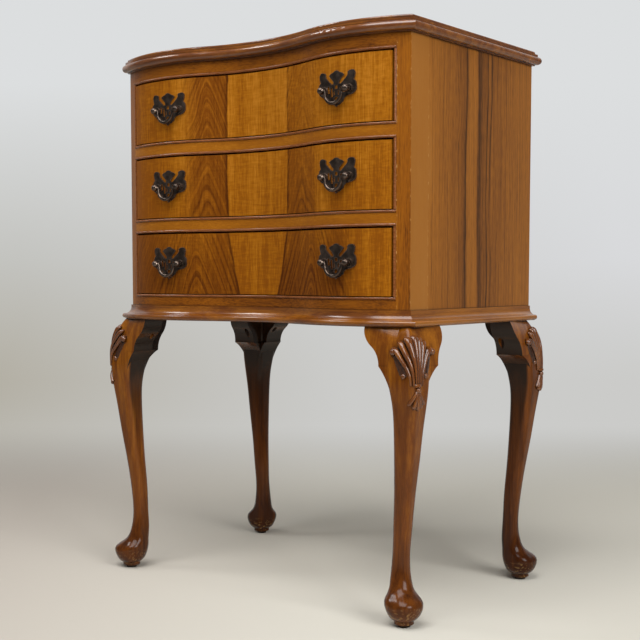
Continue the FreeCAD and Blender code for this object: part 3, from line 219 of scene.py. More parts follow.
def streaks(tree, place, along, wide_mm, long_mm, seed, detail=3):
    """Noise drawn out along one axis: a streak's width and length in millimetres set its scale."""
    scale = [1 / (wide_mm * MM)] * 3
    scale["XYZ".index(along)] = 1 / (long_mm * MM)
    spread = node(tree, "ShaderNodeMapping",
                  {"Vector": place, "Scale": scale, "Location": (seed, seed * 2, seed * 3)})
    return node(tree, "ShaderNodeTexNoise",
                {"Vector": spread.outputs[0], "Scale": 1, "Detail": detail}).outputs[0]


def weigh(tree, start, *parts):
    """Sum of patterns, each counted from its middle and times its weight."""
    total = start
    for pattern, weight in parts:
        middle = node(tree, "ShaderNodeMath", {0: pattern, 1: 0.5}, operation="SUBTRACT").outputs[0]
        total = node(tree, "ShaderNodeMath", {0: middle, 1: weight, 2: total},
                     operation="MULTIPLY_ADD").outputs[0]
    return total


def shade(tree, measure, start, end, first, second):
    """Colour that goes from the first to the second while a measure goes from start to end."""
    share = node(tree, "ShaderNodeMapRange", {0: measure, 1: start, 2: end}).outputs[0]
    return node(tree, "ShaderNodeMix", {0: share, 6: first, 7: second}, data_type="RGBA").outputs[2]


def varnish(tree, shader, grain, roughness, gloss, depth_mm=0.05):
    """Varnish that has sunk a little into the grain."""
    shader.inputs["Roughness"].default_value = roughness
    shader.inputs["IOR"].default_value = 1.5
    shader.inputs["Specular IOR Level"].default_value = gloss
    bump = node(tree, "ShaderNodeBump", {"Height": grain, "Strength": 0.3, "Distance": depth_mm * MM})
    tree.links.new(bump.outputs[0], shader.inputs["Normal"])


def with_polish_and_shade(tree, painted, finish, reach_mm):
    """A wood's colour with old dark polish and painted shade in its hollows and along its inner corners."""
    # Ambient occlusion darkens hollows and inner corners: partly old polish, partly painted shade
    open_air = node(tree, "ShaderNodeAmbientOcclusion", {"Distance": reach_mm * MM}, samples=8).outputs["AO"]
    shut_in = node(tree, "ShaderNodeMapRange", {0: open_air, 1: 0.85, 2: 0.4, 3: 0.0, 4: 0.85}).outputs[0]
    return node(tree, "ShaderNodeMix", {0: shut_in, 6: painted, 7: finish.polish},
                data_type="RGBA").outputs[2]


def edges(tree, reach_mm):
    """How near a point lies to an edge, from 0 to 1."""
    eased = node(tree, "ShaderNodeBevel", {"Radius": reach_mm * MM}, samples=6).outputs[0]
    facing = node(tree, "ShaderNodeNewGeometry").outputs["Normal"]
    alike = node(tree, "ShaderNodeVectorMath", {0: eased, 1: facing}, operation="DOT_PRODUCT")
    return node(tree, "ShaderNodeMapRange", {0: alike.outputs["Value"], 1: 0.98, 2: 0.8}).outputs[0]


# Woods

def figured_veneer(finish):
    """Walnut veneer, sliced and book-matched, satin varnished: gold sapwood between leaves of dark heartwood.

    The rings of the heartwood rise to a point in each leaf, so the fronts show pairs of mirrored arches. The
    leaves of the lower drawer reach further out, and painted shade darkens the wood from the upper drawer to
    the lower one.
    """
    material, tree, shader, place = new_material("figured walnut veneer")
    xyz = node(tree, "ShaderNodeSeparateXYZ", {0: place}).outputs
    bottom, top = (corner.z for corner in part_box("lower_drawer_front"))
    low = (bottom + top) / 2
    split = (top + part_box("middle_drawer_front")[0].z) / 2
    under, over = split - 3 * MM, split + 3 * MM
    high = sum(corner.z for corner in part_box("upper_drawer_front")) / 2

    # Distance from the middle of the front, which wanders a little
    wander = streaks(tree, place, "Z", 40, 120, seed=3, detail=2)
    shift = node(tree, "ShaderNodeMath", {0: wander, 1: 14 * MM, 2: -7 * MM},
                 operation="MULTIPLY_ADD").outputs[0]
    centred = node(tree, "ShaderNodeMath", {0: xyz[0], 1: 3 * MM}, operation="ADD").outputs[0]
    apart = node(tree, "ShaderNodeMath", {0: centred}, operation="ABSOLUTE").outputs[0]
    reach = node(tree, "ShaderNodeMath", {0: apart, 1: shift}, operation="ADD").outputs[0]

    # Where a leaf of heartwood starts and ends, and how deep its colour is
    inner = node(tree, "ShaderNodeMapRange",
                 {0: xyz[2], 1: bottom, 2: top, 3: 31 * MM, 4: 49 * MM}).outputs[0]
    inner_end = node(tree, "ShaderNodeMath", {0: inner, 1: 3 * MM}, operation="ADD").outputs[0]
    low_outer = node(tree, "ShaderNodeMapRange",
                     {0: xyz[0], 1: -10 * MM, 2: 10 * MM, 3: 300 * MM, 4: 185 * MM}).outputs[0]
    outer = node(tree, "ShaderNodeMapRange",
                 {0: xyz[2], 1: under, 2: over, 3: low_outer, 4: 128 * MM}).outputs[0]
    outer_start = node(tree, "ShaderNodeMath", {0: outer, 1: 36 * MM}, operation="SUBTRACT").outputs[0]
    rise = node(tree, "ShaderNodeMapRange", {0: reach, 1: inner, 2: inner_end},
                interpolation_type="SMOOTHSTEP").outputs[0]
    fall = node(tree, "ShaderNodeMapRange", {0: reach, 1: outer_start, 2: outer, 3: 1.0, 4: 0.0},
                interpolation_type="SMOOTHSTEP").outputs[0]
    leaf = node(tree, "ShaderNodeMath", {0: rise, 1: fall}, operation="MULTIPLY").outputs[0]
    left = node(tree, "ShaderNodeMapRange", {0: xyz[2], 1: split, 2: high, 3: 0.75, 4: 1.0}).outputs[0]
    right = node(tree, "ShaderNodeMapRange", {0: xyz[2], 1: low, 2: high, 3: 0.95, 4: 0.2}).outputs[0]
    depth = node(tree, "ShaderNodeMapRange",
                 {0: xyz[0], 1: -20 * MM, 2: 20 * MM, 3: left, 4: right}).outputs[0]
    sunk = node(tree, "ShaderNodeMapRange",
                {0: xyz[2], 1: bottom + 15 * MM, 2: split, 3: 1.0, 4: 0.5}).outputs[0]
    above = node(tree, "ShaderNodeMath", {0: xyz[2], 1: split}, operation="GREATER_THAN").outputs[0]
    lit = node(tree, "ShaderNodeMath", {0: sunk, 1: above}, operation="MAXIMUM").outputs[0]
    faded = node(tree, "ShaderNodeMath", {0: depth, 1: lit}, operation="MULTIPLY").outputs[0]

    # Rings that arch over the middle of a leaf
    crown = node(tree, "ShaderNodeMapRange",
                 {0: xyz[2], 1: under, 2: over, 3: 100 * MM, 4: 83 * MM}).outputs[0]
    from_crown = node(tree, "ShaderNodeMath", {0: reach, 1: crown}, operation="SUBTRACT").outputs[0]
    blunt = (6 * MM) ** 2
    squared = node(tree, "ShaderNodeMath", {0: from_crown, 1: from_crown, 2: blunt},
                   operation="MULTIPLY_ADD").outputs[0]
    flank = node(tree, "ShaderNodeMath", {0: squared}, operation="SQRT").outputs[0]
    steep = 2.6
    arch = node(tree, "ShaderNodeMath", {0: flank, 1: steep, 2: xyz[2]}, operation="MULTIPLY_ADD").outputs[0]
    ragged = node(tree, "ShaderNodeMath", {0: wander, 1: 40 * MM, 2: arch},
                  operation="MULTIPLY_ADD").outputs[0]
    turns = node(tree, "ShaderNodeMath", {0: ragged, 1: 1 / (11 * MM)}, operation="MULTIPLY").outputs[0]
    rings = node(tree, "ShaderNodeTexNoise", {"W": turns, "Scale": 1, "Detail": 4, "Roughness": 0.62},
                 noise_dimensions="1D").outputs[0]
    ringed = weigh(tree, faded, (rings, 1.5))
    heart = node(tree, "ShaderNodeMath", {0: leaf, 1: ringed}, operation="MULTIPLY",
                 use_clamp=True).outputs[0]

    # Darker line along the seam with the gold middle
    seam_end = node(tree, "ShaderNodeMath", {0: inner, 1: 7 * MM}, operation="ADD").outputs[0]
    fade = node(tree, "ShaderNodeMapRange", {0: reach, 1: inner_end, 2: seam_end, 3: 1.0, 4: 0.0}).outputs[0]
    seam = node(tree, "ShaderNodeMath", {0: fade, 1: rise}, operation="MULTIPLY").outputs[0]
    seamed = node(tree, "ShaderNodeMath", {0: seam, 1: 0.4, 2: heart}, operation="MULTIPLY_ADD",
                  use_clamp=True).outputs[0]

    # Colours of the gold and of the heartwood
    fine = streaks(tree, place, "Z", 1.6, 120, seed=7)
    broad = streaks(tree, place, "Z", 22, 420, seed=11, detail=2)
    ripple = streaks(tree, place, "X", 2.6, 22, seed=17, detail=2)
    pores = streaks(tree, place, "Z", 1.3 * PORE_MM, 14, seed=5, detail=2)
    # Painted shade: the gold is drawn darker towards the lower drawer
    kept = node(tree, "ShaderNodeMapRange", {0: xyz[2], 1: low, 2: high, 3: 0.72, 4: 0.48}).outputs[0]
    far_end = node(tree, "ShaderNodeMapRange",
                   {0: xyz[0], 1: -220 * MM, 2: -100 * MM, 3: 0.3, 4: 0.0}).outputs[0]
    kept = node(tree, "ShaderNodeMath", {0: kept, 1: far_end}, operation="ADD").outputs[0]
    gold_tone = weigh(tree, kept, (broad, 0.9), (fine, 0.8), (ripple, 0.65), (pores, 0.9))
    gold = node(tree, "ShaderNodeValToRGB", {0: gold_tone},
                ((0.2, finish.gold_pale), (0.5, finish.gold), (0.85, finish.gold_deep))).outputs[0]
    middle_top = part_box("middle_drawer_front")[1].z
    # Painted shade: the heartwood is drawn darker towards the lower drawer
    aged = node(tree, "ShaderNodeMapRange", {0: xyz[2], 1: low, 2: middle_top, 3: 0.72, 4: 0.48}).outputs[0]
    heart_tone = weigh(tree, aged, (rings, 1.1), (fine, 0.6), (ripple, 0.3), (pores, 0.8))
    heart_tone = node(tree, "ShaderNodeMath", {0: seam, 1: 0.4, 2: heart_tone},
                      operation="MULTIPLY_ADD").outputs[0]
    dark = node(tree, "ShaderNodeValToRGB", {0: heart_tone},
                ((0.1, finish.heart_light), (0.5, finish.heart), (1.0, finish.heart_line))).outputs[0]
    painted = node(tree, "ShaderNodeMix", {0: seamed, 6: gold, 7: dark}, data_type="RGBA").outputs[2]
    tree.links.new(painted, shader.inputs["Base Color"])
    varnish(tree, shader, pores, 0.34, 0.08)
    return material


def plain_veneer(finish, name, along, seed, base, corner=False):
    """Straight-grained walnut veneer on the rails and stiles: gold-brown, streaked, satin varnished.

    On a corner the faces to the side are paler, and bare flecks show along the worn edges.
    """
    material, tree, shader, place = new_material(name)
    fine = streaks(tree, place, along, 1.6, 60, seed=seed)
    broad = streaks(tree, place, along, 17, 200, seed=seed + 2, detail=3)
    pores = streaks(tree, place, along, PORE_MM, 10, seed=seed + 4, detail=1)
    tone = weigh(tree, base, (broad, 0.7), (fine, 0.5), (pores, 0.5))
    stops = ((0.1, finish.gold_pale), (0.4, finish.gold), (0.75, finish.gold_deep), (1.0, finish.heart_line))
    painted = node(tree, "ShaderNodeValToRGB", {0: tone}, stops).outputs[0]
    if corner:
        facing = node(tree, "ShaderNodeNewGeometry").outputs["Normal"]
        normal = node(tree, "ShaderNodeSeparateXYZ", {0: facing}).outputs
        aside = node(tree, "ShaderNodeMath", {0: normal[0]}, operation="ABSOLUTE").outputs[0]
        pale = node(tree, "ShaderNodeValToRGB", {0: tone},
                    ((0.3, finish.side_pale), (1.0, finish.side_light))).outputs[0]
        painted = shade(tree, aside, 0.5, 0.9, painted, pale)
        chips = streaks(tree, place, "Z", 2.2, 5, seed=6)
        flecks = node(tree, "ShaderNodeMapRange", {0: chips, 1: 0.56, 2: 0.62}).outputs[0]
        bare = node(tree, "ShaderNodeMath", {0: edges(tree, 3), 1: flecks}, operation="MULTIPLY").outputs[0]
        painted = node(tree, "ShaderNodeMix", {0: bare, 6: painted, 7: finish.worn_edge},
                       data_type="RGBA").outputs[2]
    tree.links.new(with_polish_and_shade(tree, painted, finish, 3), shader.inputs["Base Color"])
    varnish(tree, shader, pores, 0.36, 0.2)
    return material


def striped_veneer(finish):
    """Quarter-cut walnut veneer, satin varnished: a light front, then brown bands with thin dark streaks."""
    material, tree, shader, place = new_material("striped walnut veneer")
    depth = node(tree, "ShaderNodeSeparateXYZ", {0: place}).outputs[1]
    sway_size, wave_size = 22 * MM, 7 * MM
    sway = streaks(tree, place, "Z", 60, 200, seed=2, detail=2)
    wave = streaks(tree, place, "Z", 25, 70, seed=8, detail=1)
    swayed = node(tree, "ShaderNodeMath", {0: sway, 1: sway_size, 2: depth},
                  operation="MULTIPLY_ADD").outputs[0]
    bent = node(tree, "ShaderNodeMath", {0: wave, 1: wave_size, 2: swayed},
                operation="MULTIPLY_ADD").outputs[0]
    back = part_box("right_side_panel")[1].y + (sway_size + wave_size) / 2
    across = node(tree, "ShaderNodeMapRange", {0: bent, 1: back - 300 * MM, 2: back}).outputs[0]

    # Darkness of the bands and strength of their thin lines, from the front to the back
    darkness = ((0.0, 0.1), (0.1, 0.2), (0.2, 0.38), (0.28, 0.44), (0.36, 0.54), (0.4, 0.66), (0.418, 0.95),
                (0.432, 0.42), (0.46, 0.36), (0.52, 0.37), (0.534, 0.95), (0.57, 0.66), (0.68, 0.52),
                (0.8, 0.44), (1.0, 0.37))
    lining = ((0.0, 0.2), (0.2, 0.35), (0.3, 0.7), (0.42, 1.0), (0.435, 0.15), (0.52, 0.1), (0.54, 1.0),
              (0.7, 0.8), (0.85, 0.35), (1.0, 0.3))
    bands, zone = (node(tree, "ShaderNodeValToRGB", {0: across},
                        [(position, (v, v, v, 1)) for position, v in stops]).outputs[0]
                   for stops in (darkness, lining))
    turns = node(tree, "ShaderNodeMath", {0: bent, 1: 1 / (4.2 * MM)}, operation="MULTIPLY").outputs[0]
    rings = node(tree, "ShaderNodeTexNoise", {"W": turns, "Scale": 1, "Detail": 3, "Roughness": 0.6},
                 noise_dimensions="1D").outputs[0]
    line = node(tree, "ShaderNodeMapRange", {0: rings, 1: 0.54, 2: 0.68}).outputs[0]
    patchy = streaks(tree, place, "Z", 8, 120, seed=12, detail=2)
    kept = node(tree, "ShaderNodeMapRange", {0: patchy, 1: 0.35, 2: 0.6}).outputs[0]
    for limit in (zone, kept):
        line = node(tree, "ShaderNodeMath", {0: line, 1: limit}, operation="MULTIPLY").outputs[0]
    lines = node(tree, "ShaderNodeMath", {0: line, 1: 0.42, 2: bands}, operation="MULTIPLY_ADD").outputs[0]
    fine = streaks(tree, place, "Z", 2, 160, seed=7)
    pores = streaks(tree, place, "Z", PORE_MM, 14, seed=5, detail=1)
    tone = weigh(tree, lines, (rings, 0.35), (fine, 0.8), (pores, 0.6))
    stops = ((0.0, finish.side_pale), (0.25, finish.side_light), (0.6, finish.side_brown),
             (1.0, finish.side_dark))
    painted = node(tree, "ShaderNodeValToRGB", {0: tone}, stops).outputs[0]
    tree.links.new(with_polish_and_shade(tree, painted, finish, 4), shader.inputs["Base Color"])
    varnish(tree, shader, pores, 0.42, 0.2)
    return material


def solid_walnut(finish, name, along, seed, base, gloss, leg=False):
    """Solid walnut, planed or carved and varnished glossy: red-brown with long dark lines.

    On a leg the knee is lighter, the foot is darker with pale rubbed flecks, and the upper faces that look
    inwards are almost black, in dark stain and painted shade.
    """
    material, tree, shader, place = new_material(name)
    fine = streaks(tree, place, along, 2, 90, seed=seed)
    broad = streaks(tree, place, along, 12, 150, seed=seed + 2, detail=2)
    pores = streaks(tree, place, along, PORE_MM, 12, seed=seed + 4, detail=1)
    tone = weigh(tree, base, (broad, 0.9), (fine, 0.5), (pores, 0.25))
    stops = ((0.1, finish.solid_light), (0.5, finish.solid_brown), (1.0, finish.solid_dark))
    if leg:
        height = node(tree, "ShaderNodeSeparateXYZ", {0: place}).outputs[2]
        foot = node(tree, "ShaderNodeMapRange", {0: height, 1: 30 * MM, 2: 110 * MM, 3: 0.3, 4: 0.0})
        knee = node(tree, "ShaderNodeMapRange", {0: height, 1: 240 * MM, 2: 340 * MM, 3: 0.0, 4: -0.16})
        for change in (foot, knee):
            tone = node(tree, "ShaderNodeMath", {0: tone, 1: change.outputs[0]}, operation="ADD").outputs[0]
    painted = node(tree, "ShaderNodeValToRGB", {0: tone}, stops).outputs[0]
    if leg:
        scuffs = streaks(tree, place, "X", 3, 11, seed=14)
        rubbed = node(tree, "ShaderNodeMapRange", {0: scuffs, 1: 0.55, 2: 0.75, 4: 0.45}).outputs[0]
        low = node(tree, "ShaderNodeMapRange", {0: height, 1: 30 * MM, 2: 20 * MM}).outputs[0]
        worn = node(tree, "ShaderNodeMath", {0: rubbed, 1: low}, operation="MULTIPLY").outputs[0]
        # Pale rubbed flecks low on the foot, then dark stain with painted shade on the upper inward faces
        for share, tint in ((worn, finish.worn_edge), (inward_facing(tree, place), finish.stain_and_shade)):
            painted = node(tree, "ShaderNodeMix", {0: share, 6: painted, 7: tint},
                           data_type="RGBA").outputs[2]
    tree.links.new(with_polish_and_shade(tree, painted, finish, 5), shader.inputs["Base Color"])
    varnish(tree, shader, pores, 0.17, gloss)
    return material


def inward_facing(tree, place):
    """How much a face of a leg looks towards the middle of the chest, from 0 to 1, and 0 near the foot."""
    xyz = node(tree, "ShaderNodeSeparateXYZ", {0: place}).outputs
    facing = node(tree, "ShaderNodeNewGeometry").outputs["Normal"]
    normal = node(tree, "ShaderNodeSeparateXYZ", {0: facing}).outputs
    looks = []
    for axis in (0, 1):
        sense = node(tree, "ShaderNodeMath", {0: xyz[axis]}, operation="SIGN").outputs[0]
        look = node(tree, "ShaderNodeMath", {0: sense, 1: normal[axis]}, operation="MULTIPLY")
        looks.append(look.outputs[0])
    both = node(tree, "ShaderNodeMath", {0: looks[0], 1: looks[1]}, operation="ADD").outputs[0]
    inward = node(tree, "ShaderNodeMapRange", {0: both, 1: -0.3, 2: -0.8}).outputs[0]
    blotches = streaks(tree, place, "Z", 14, 40, seed=9, detail=2)
    level = node(tree, "ShaderNodeMath", {0: blotches, 1: 50 * MM, 2: xyz[2]},
                 operation="MULTIPLY_ADD").outputs[0]
    upper = node(tree, "ShaderNodeMapRange", {0: level, 1: 200 * MM, 2: 320 * MM}).outputs[0]
    return node(tree, "ShaderNodeMath", {0: inward, 1: upper}, operation="MULTIPLY").outputs[0]


def bead_wood(finish):
    """Solid walnut beads, rubbed glossy: light lines on their rounds, old dark polish and painted shade
    beside them.
    """
    material, tree, shader, place = new_material("walnut bead")
    fine = streaks(tree, place, "X", 2, 60, seed=91)
    painted = node(tree, "ShaderNodeValToRGB", {0: fine}, ((0.35, finish.bead), (0.7, finish.solid_brown)))
    tree.links.new(with_polish_and_shade(tree, painted.outputs[0], finish, 2), shader.inputs["Base Color"])
    shader.inputs["Roughness"].default_value = 0.25
    return material


def punched_wood(finish):
    """Walnut ground, stained dark and roughened with a punch: dull little dimples beside the carving."""
    material, tree, shader, place = new_material("punched walnut ground")
    dimples = node(tree, "ShaderNodeTexVoronoi",
                   {"Vector": place, "Scale": 1 / (2.2 * MM)}).outputs["Distance"]
    painted = node(tree, "ShaderNodeValToRGB", {0: dimples}, ((0.2, finish.polish), (0.6, finish.ground)))
    tree.links.new(painted.outputs[0], shader.inputs["Base Color"])
    varnish(tree, shader, dimples, 0.35, 0.4, 0.3)
    return material


def lining_wood(name, tone, along, seed):
    """Planed pale hardwood or plywood, bare: faint streaks and a matt surface."""
    material, tree, shader, place = new_material(name)
    fine = streaks(tree, place, along, 2, 150, seed=seed)
    dark = tuple(c * 0.72 for c in tone[:3]) + (1.0,)
    painted = node(tree, "ShaderNodeValToRGB", {0: fine}, ((0.3, tone), (0.75, dark)))
    tree.links.new(painted.outputs[0], shader.inputs["Base Color"])
    shader.inputs["Roughness"].default_value = 0.7
    return material


# Metals

def aged_brass(finish):
    """Cast brass gone almost black with age, rubbed a little brighter in places: small glints.

    Its edges are rubbed bright and carry a painted highlight too.
    """
    material, tree, shader, place = new_material("aged brass")
    patches = streaks(tree, place, "Z", 9, 9, seed=4)
    dull = node(tree, "ShaderNodeValToRGB", {0: patches},
                ((0.4, finish.brass_dark), (0.7, finish.brass_worn))).outputs[0]
    # Rubbed brass and a painted highlight along the plates' edges
    painted = node(tree, "ShaderNodeMix", {0: edges(tree, 1.3), 6: dull, 7: finish.brass_rubbed_and_highlight},
                   data_type="RGBA").outputs[2]
    tree.links.new(painted, shader.inputs["Base Color"])
    shader.inputs["Metallic"].default_value = 0.9
    shader.inputs["Roughness"].default_value = 0.27
    return material


def plain_metal(name, tone, roughness):
    """Turned or stamped metal with one even finish."""
    material, _, shader, _ = new_material(name)
    shader.inputs["Base Color"].default_value = tone
    shader.inputs["Metallic"].default_value = 1.0
    shader.inputs["Roughness"].default_value = roughness
    return material


# Mesh helpers

def deselect_all():
    """Leave edit mode and select nothing."""
    if bpy.context.object and bpy.context.object.mode != "OBJECT":
        bpy.ops.object.mode_set(mode="OBJECT")
    bpy.ops.object.select_all(action="DESELECT")


def pick(item):
    """Make one object the only selected and active one."""
    deselect_all()
    item.select_set(True)
    bpy.context.view_layer.objects.active = item


def new_piece(name):
    """New object without a mesh yet, left in edit mode."""
    deselect_all()
    bpy.ops.mesh.primitive_circle_add(vertices=3)
    item = bpy.context.object
    item.name = item.data.name = name
    bpy.ops.object.mode_set(mode="EDIT")
    bpy.ops.mesh.select_all(action="SELECT")
    bpy.ops.mesh.delete(type="VERT")
    return item


def draw_out(points, radii, sides):
    """In edit mode: a level ring drawn out through points, with a radius at each."""
    bpy.ops.mesh.select_all(action="DESELECT")
    bpy.ops.mesh.primitive_circle_add(vertices=sides, radius=radii[0], fill_type="NGON", location=points[0])
    for i in range(1, len(points)):
        step = points[i] - points[i - 1]
        bpy.ops.mesh.extrude_region_move(TRANSFORM_OT_translate={"value": step})
        ratio = radii[i] / radii[i - 1]
        bpy.ops.transform.resize(value=(ratio, ratio, ratio), center_override=points[i])


def close_piece(item, sharp=40):
    """Merge, turn the faces outwards and smooth all but the edges sharper than an angle in degrees."""
    pick(item)
    bpy.ops.object.mode_set(mode="EDIT")
    bpy.ops.mesh.select_all(action="SELECT")
    bpy.ops.mesh.remove_doubles(threshold=0.01 * MM)
    bpy.ops.mesh.normals_make_consistent(inside=False)
    bpy.ops.object.mode_set(mode="OBJECT")
    bpy.ops.object.shade_smooth_by_angle(angle=math.radians(sharp))


def placed_copy(item, name, location, turn=0.0, scale=(1, 1, 1)):
    """Copy with a mesh of its own, with its place, turn and scale applied to that mesh."""
    pick(item)
    bpy.ops.object.duplicate(linked=False)
    copy = bpy.context.object
    copy.name = copy.data.name = name
    copy.location = location
    copy.rotation_euler = (0, 0, turn)
    copy.scale = scale
    bpy.ops.object.transform_apply(location=True, rotation=True, scale=True)
    return copy


def dress(item, *materials):
    """Give an object its materials, the main one first."""
    item.data.materials.clear()
    for material in materials:
        item.data.materials.append(material)


# Carved knees

class KneeSurface:
    """The skin of the front right knee, met from all round towards an upright line inside it."""
    outside = 80 * MM

    def __init__(self, carving):
        corners, faces = [], []
        for name in ("front_right_leg", "knee_blocks"):
            mesh = frame["nodes"][name].data
            faces += [[len(corners) + i for i in p.vertices] for p in mesh.polygons]
            corners += [v.co for v in mesh.vertices]
        self.tree = BVHTree.FromPolygons(corners, faces)
        self.middle = Vector((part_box("front_right_leg")[1].x - carving.axis_in, -carving.axis_back, 0))
        self.facing = carving.facing

    def at(self, turn, height, lift):
        """Point of the skin at a turn from the shell's middle and a height, lifted off it."""
        out = Vector((math.cos(self.facing + turn), math.sin(self.facing + turn), 0))
        start = self.middle + out * self.outside
        start.z = height
        hit, normal, _, _ = self.tree.ray_cast(start, -out)
        if hit is None:
            raise RuntimeError(f"the shell misses the knee at {math.degrees(turn):.1f} degrees, {height:.4f}")
        return hit + normal * lift


def carve_shell(carving, skin, wood, ground):
    """Ribs fanned out from a knot, scrolls and strips beside them and a tassel, half sunk in the knee."""
    item = new_piece("front_right_knee_shell")
    dress(item, wood, ground)
    for i in range(carving.ribs):
        carve_rib(carving, skin, 2 * i / (carving.ribs - 1) - 1)
    for sense in (-1, 1):
        carve_edge(carving, skin, sense)
    carve_tassel(skin, carving.root_height)
    bpy.ops.object.mode_set(mode="OBJECT")
    close_piece(item)
    return item


def carve_rib(carving, skin, share):
    """One rib, from the knot up to its round end; share runs from -1 at the outer left one to 1."""
    root, top = carving.root_height, carving.crown_height - carving.droop * share ** 2
    steps = 12
    points, radii = [], []
    # The ribs run close together low down and part towards the top
    for k in range(steps + 1):
        up = k / steps
        turn = share * (carving.root_fan + (carving.fan - carving.root_fan) * up ** 2.4)
        radius = carving.root_radius + (carving.rib_radius - carving.root_radius) * up ** 1.4
        points.append(skin.at(turn, root + (top - root) * up, (0.45 - 0.3 * up) * radius))
        radii.append(radius)
    # A slanted rib has wider level rings, so that it keeps its thickness
    for k in range(1, steps + 1):
        step = points[k] - points[k - 1]
        radii[k] *= min(step.length / step.z, 1.4)
    ahead = (points[steps] - points[steps - 1]).normalized()
    for rise, ratio in ((0.45, 0.9), (0.8, 0.6), (0.95, 0.25)):
        points.append(points[steps] + ahead * rise * carving.rib_radius)
        radii.append(radii[steps] * ratio)
    draw_out(points, radii, 14)


def carve_ball(centre, radius):
    """A round knob turned about an upright axis."""
    rings, cap = 9, 0.3
    angles = [math.pi * (k + cap) / (rings - 1 + 2 * cap) for k in range(rings)]
    points = [centre - Vector((0, 0, radius * math.cos(a))) for a in angles]
    draw_out(points, [radius * math.sin(a) for a in angles], 14)


def carve_edge(carving, skin, sense):
    """Scroll at an end of the fan, and the flat punched strip that hangs from it to a small lip."""
    level = carving.crown_height - carving.droop
    carve_ball(skin.at(sense * (carving.fan + math.radians(8)), level - 3 * MM, 2.2 * MM), 4.5 * MM)
    points, radii = [], []
    steps = 8
    for k in range(steps + 1):
        down = k / steps
        turn = sense * math.radians(50 - 21 * down ** 0.9)
        points.append(skin.at(turn, level - (6 + 25 * down) * MM, -7.4 * MM))
        radii.append((9.4 - 0.3 * down) * MM)
    draw_out(points, radii, 14)
    bpy.ops.mesh.select_linked()
    bpy.context.object.active_material_index = 1
    bpy.ops.object.material_slot_assign()
    carve_ball(skin.at(sense * math.radians(29), level - 31 * MM, -0.4 * MM), 3.6 * MM)


def carve_tassel(skin, root):
    """Collar and knot under the ribs and strands that flare from them."""
    collar = [skin.at(0, root + rise * MM, -2.2 * MM) for rise in (2.2, 1.1, -0.9, -2.0)]
    draw_out(collar, [5.6 * MM, 6.6 * MM, 6.6 * MM, 5.6 * MM], 16)
    carve_ball(skin.at(0, root - 5.6 * MM, 0.8 * MM), 3.9 * MM)
    for spread, long in ((-16, 22), (-8, 26), (0.5, 28), (9, 26), (16.5, 22)):
        points, radii = [], []
        steps = 7
        for k in range(steps + 1):
            down = k / steps
            turn = math.radians(spread * (0.25 + 0.75 * down ** 1.2))
            points.append(skin.at(turn, root - (7 + (long - 7) * down) * MM, (0.3 + 0.5 * down) * MM))
            radii.append((1.8 + 1.1 * down ** 0.8) * MM)
        for fall, ratio in ((1.0, 0.85), (1.9, 0.4)):
            points.append(points[steps] - Vector((0, 0, fall * MM)))
            radii.append(radii[steps] * ratio)
        draw_out(points, radii, 12)


# Bails

def bend_wire(bail):
    """A bail about the middle of its hinge: pins along X, the loop hanging down, swelled at the bottom."""
    start, elbow, drop, end = bail.elbow_start, bail.elbow_radius, bail.drop, bail.pin_end
    thin, thick = bail.pin_radius, bail.swell_radius
    loop = (start ** 2 + (drop - elbow) ** 2 - elbow ** 2) / (2 * drop)
    turn = math.acos((loop - drop + elbow) / (loop + elbow))
    deselect_all()
    bpy.ops.mesh.primitive_circle_add(vertices=14, radius=thin, fill_type="NGON", location=(-end, 0, 0),
                                      rotation=(0, math.pi / 2, 0))
    item = bpy.context.object
    item.name = item.data.name = "swelled_bail"
    bpy.ops.object.transform_apply(location=True, rotation=True, scale=True)
    bpy.ops.object.mode_set(mode="EDIT")
    bpy.ops.mesh.select_all(action="SELECT")
    bpy.ops.mesh.extrude_region_move(TRANSFORM_OT_translate={"value": (end - start, 0, 0)})
    bends = (((-start, 0, -elbow), turn, 6, 0.0), ((0, 0, loop - drop), -2 * turn, 24, thick - thin),
             ((start, 0, -elbow), turn, 6, 0.0))
    radius = thin
    for centre, sweep, steps, swell in bends:
        for i in range(steps):
            bpy.ops.mesh.spin(steps=1, angle=-sweep / steps, center=centre, axis=(0, 1, 0))
            wanted = thin + swell * math.sin(math.pi * (i + 1) / steps)
            bpy.ops.transform.resize(value=(wanted / radius,) * 3, center_override=ring_centre(item))
            radius = wanted
    bpy.ops.mesh.extrude_region_move(TRANSFORM_OT_translate={"value": (end - start, 0, 0)})
    bpy.ops.object.mode_set(mode="OBJECT")
    close_piece(item, 60)
    return item


def ring_centre(item):
    """Middle of the selected vertices of the object in edit mode."""
    item.update_from_editmode()
    ring = [v.co for v in item.data.vertices if v.select]
    return sum(ring, Vector()) / len(ring)


# Operators

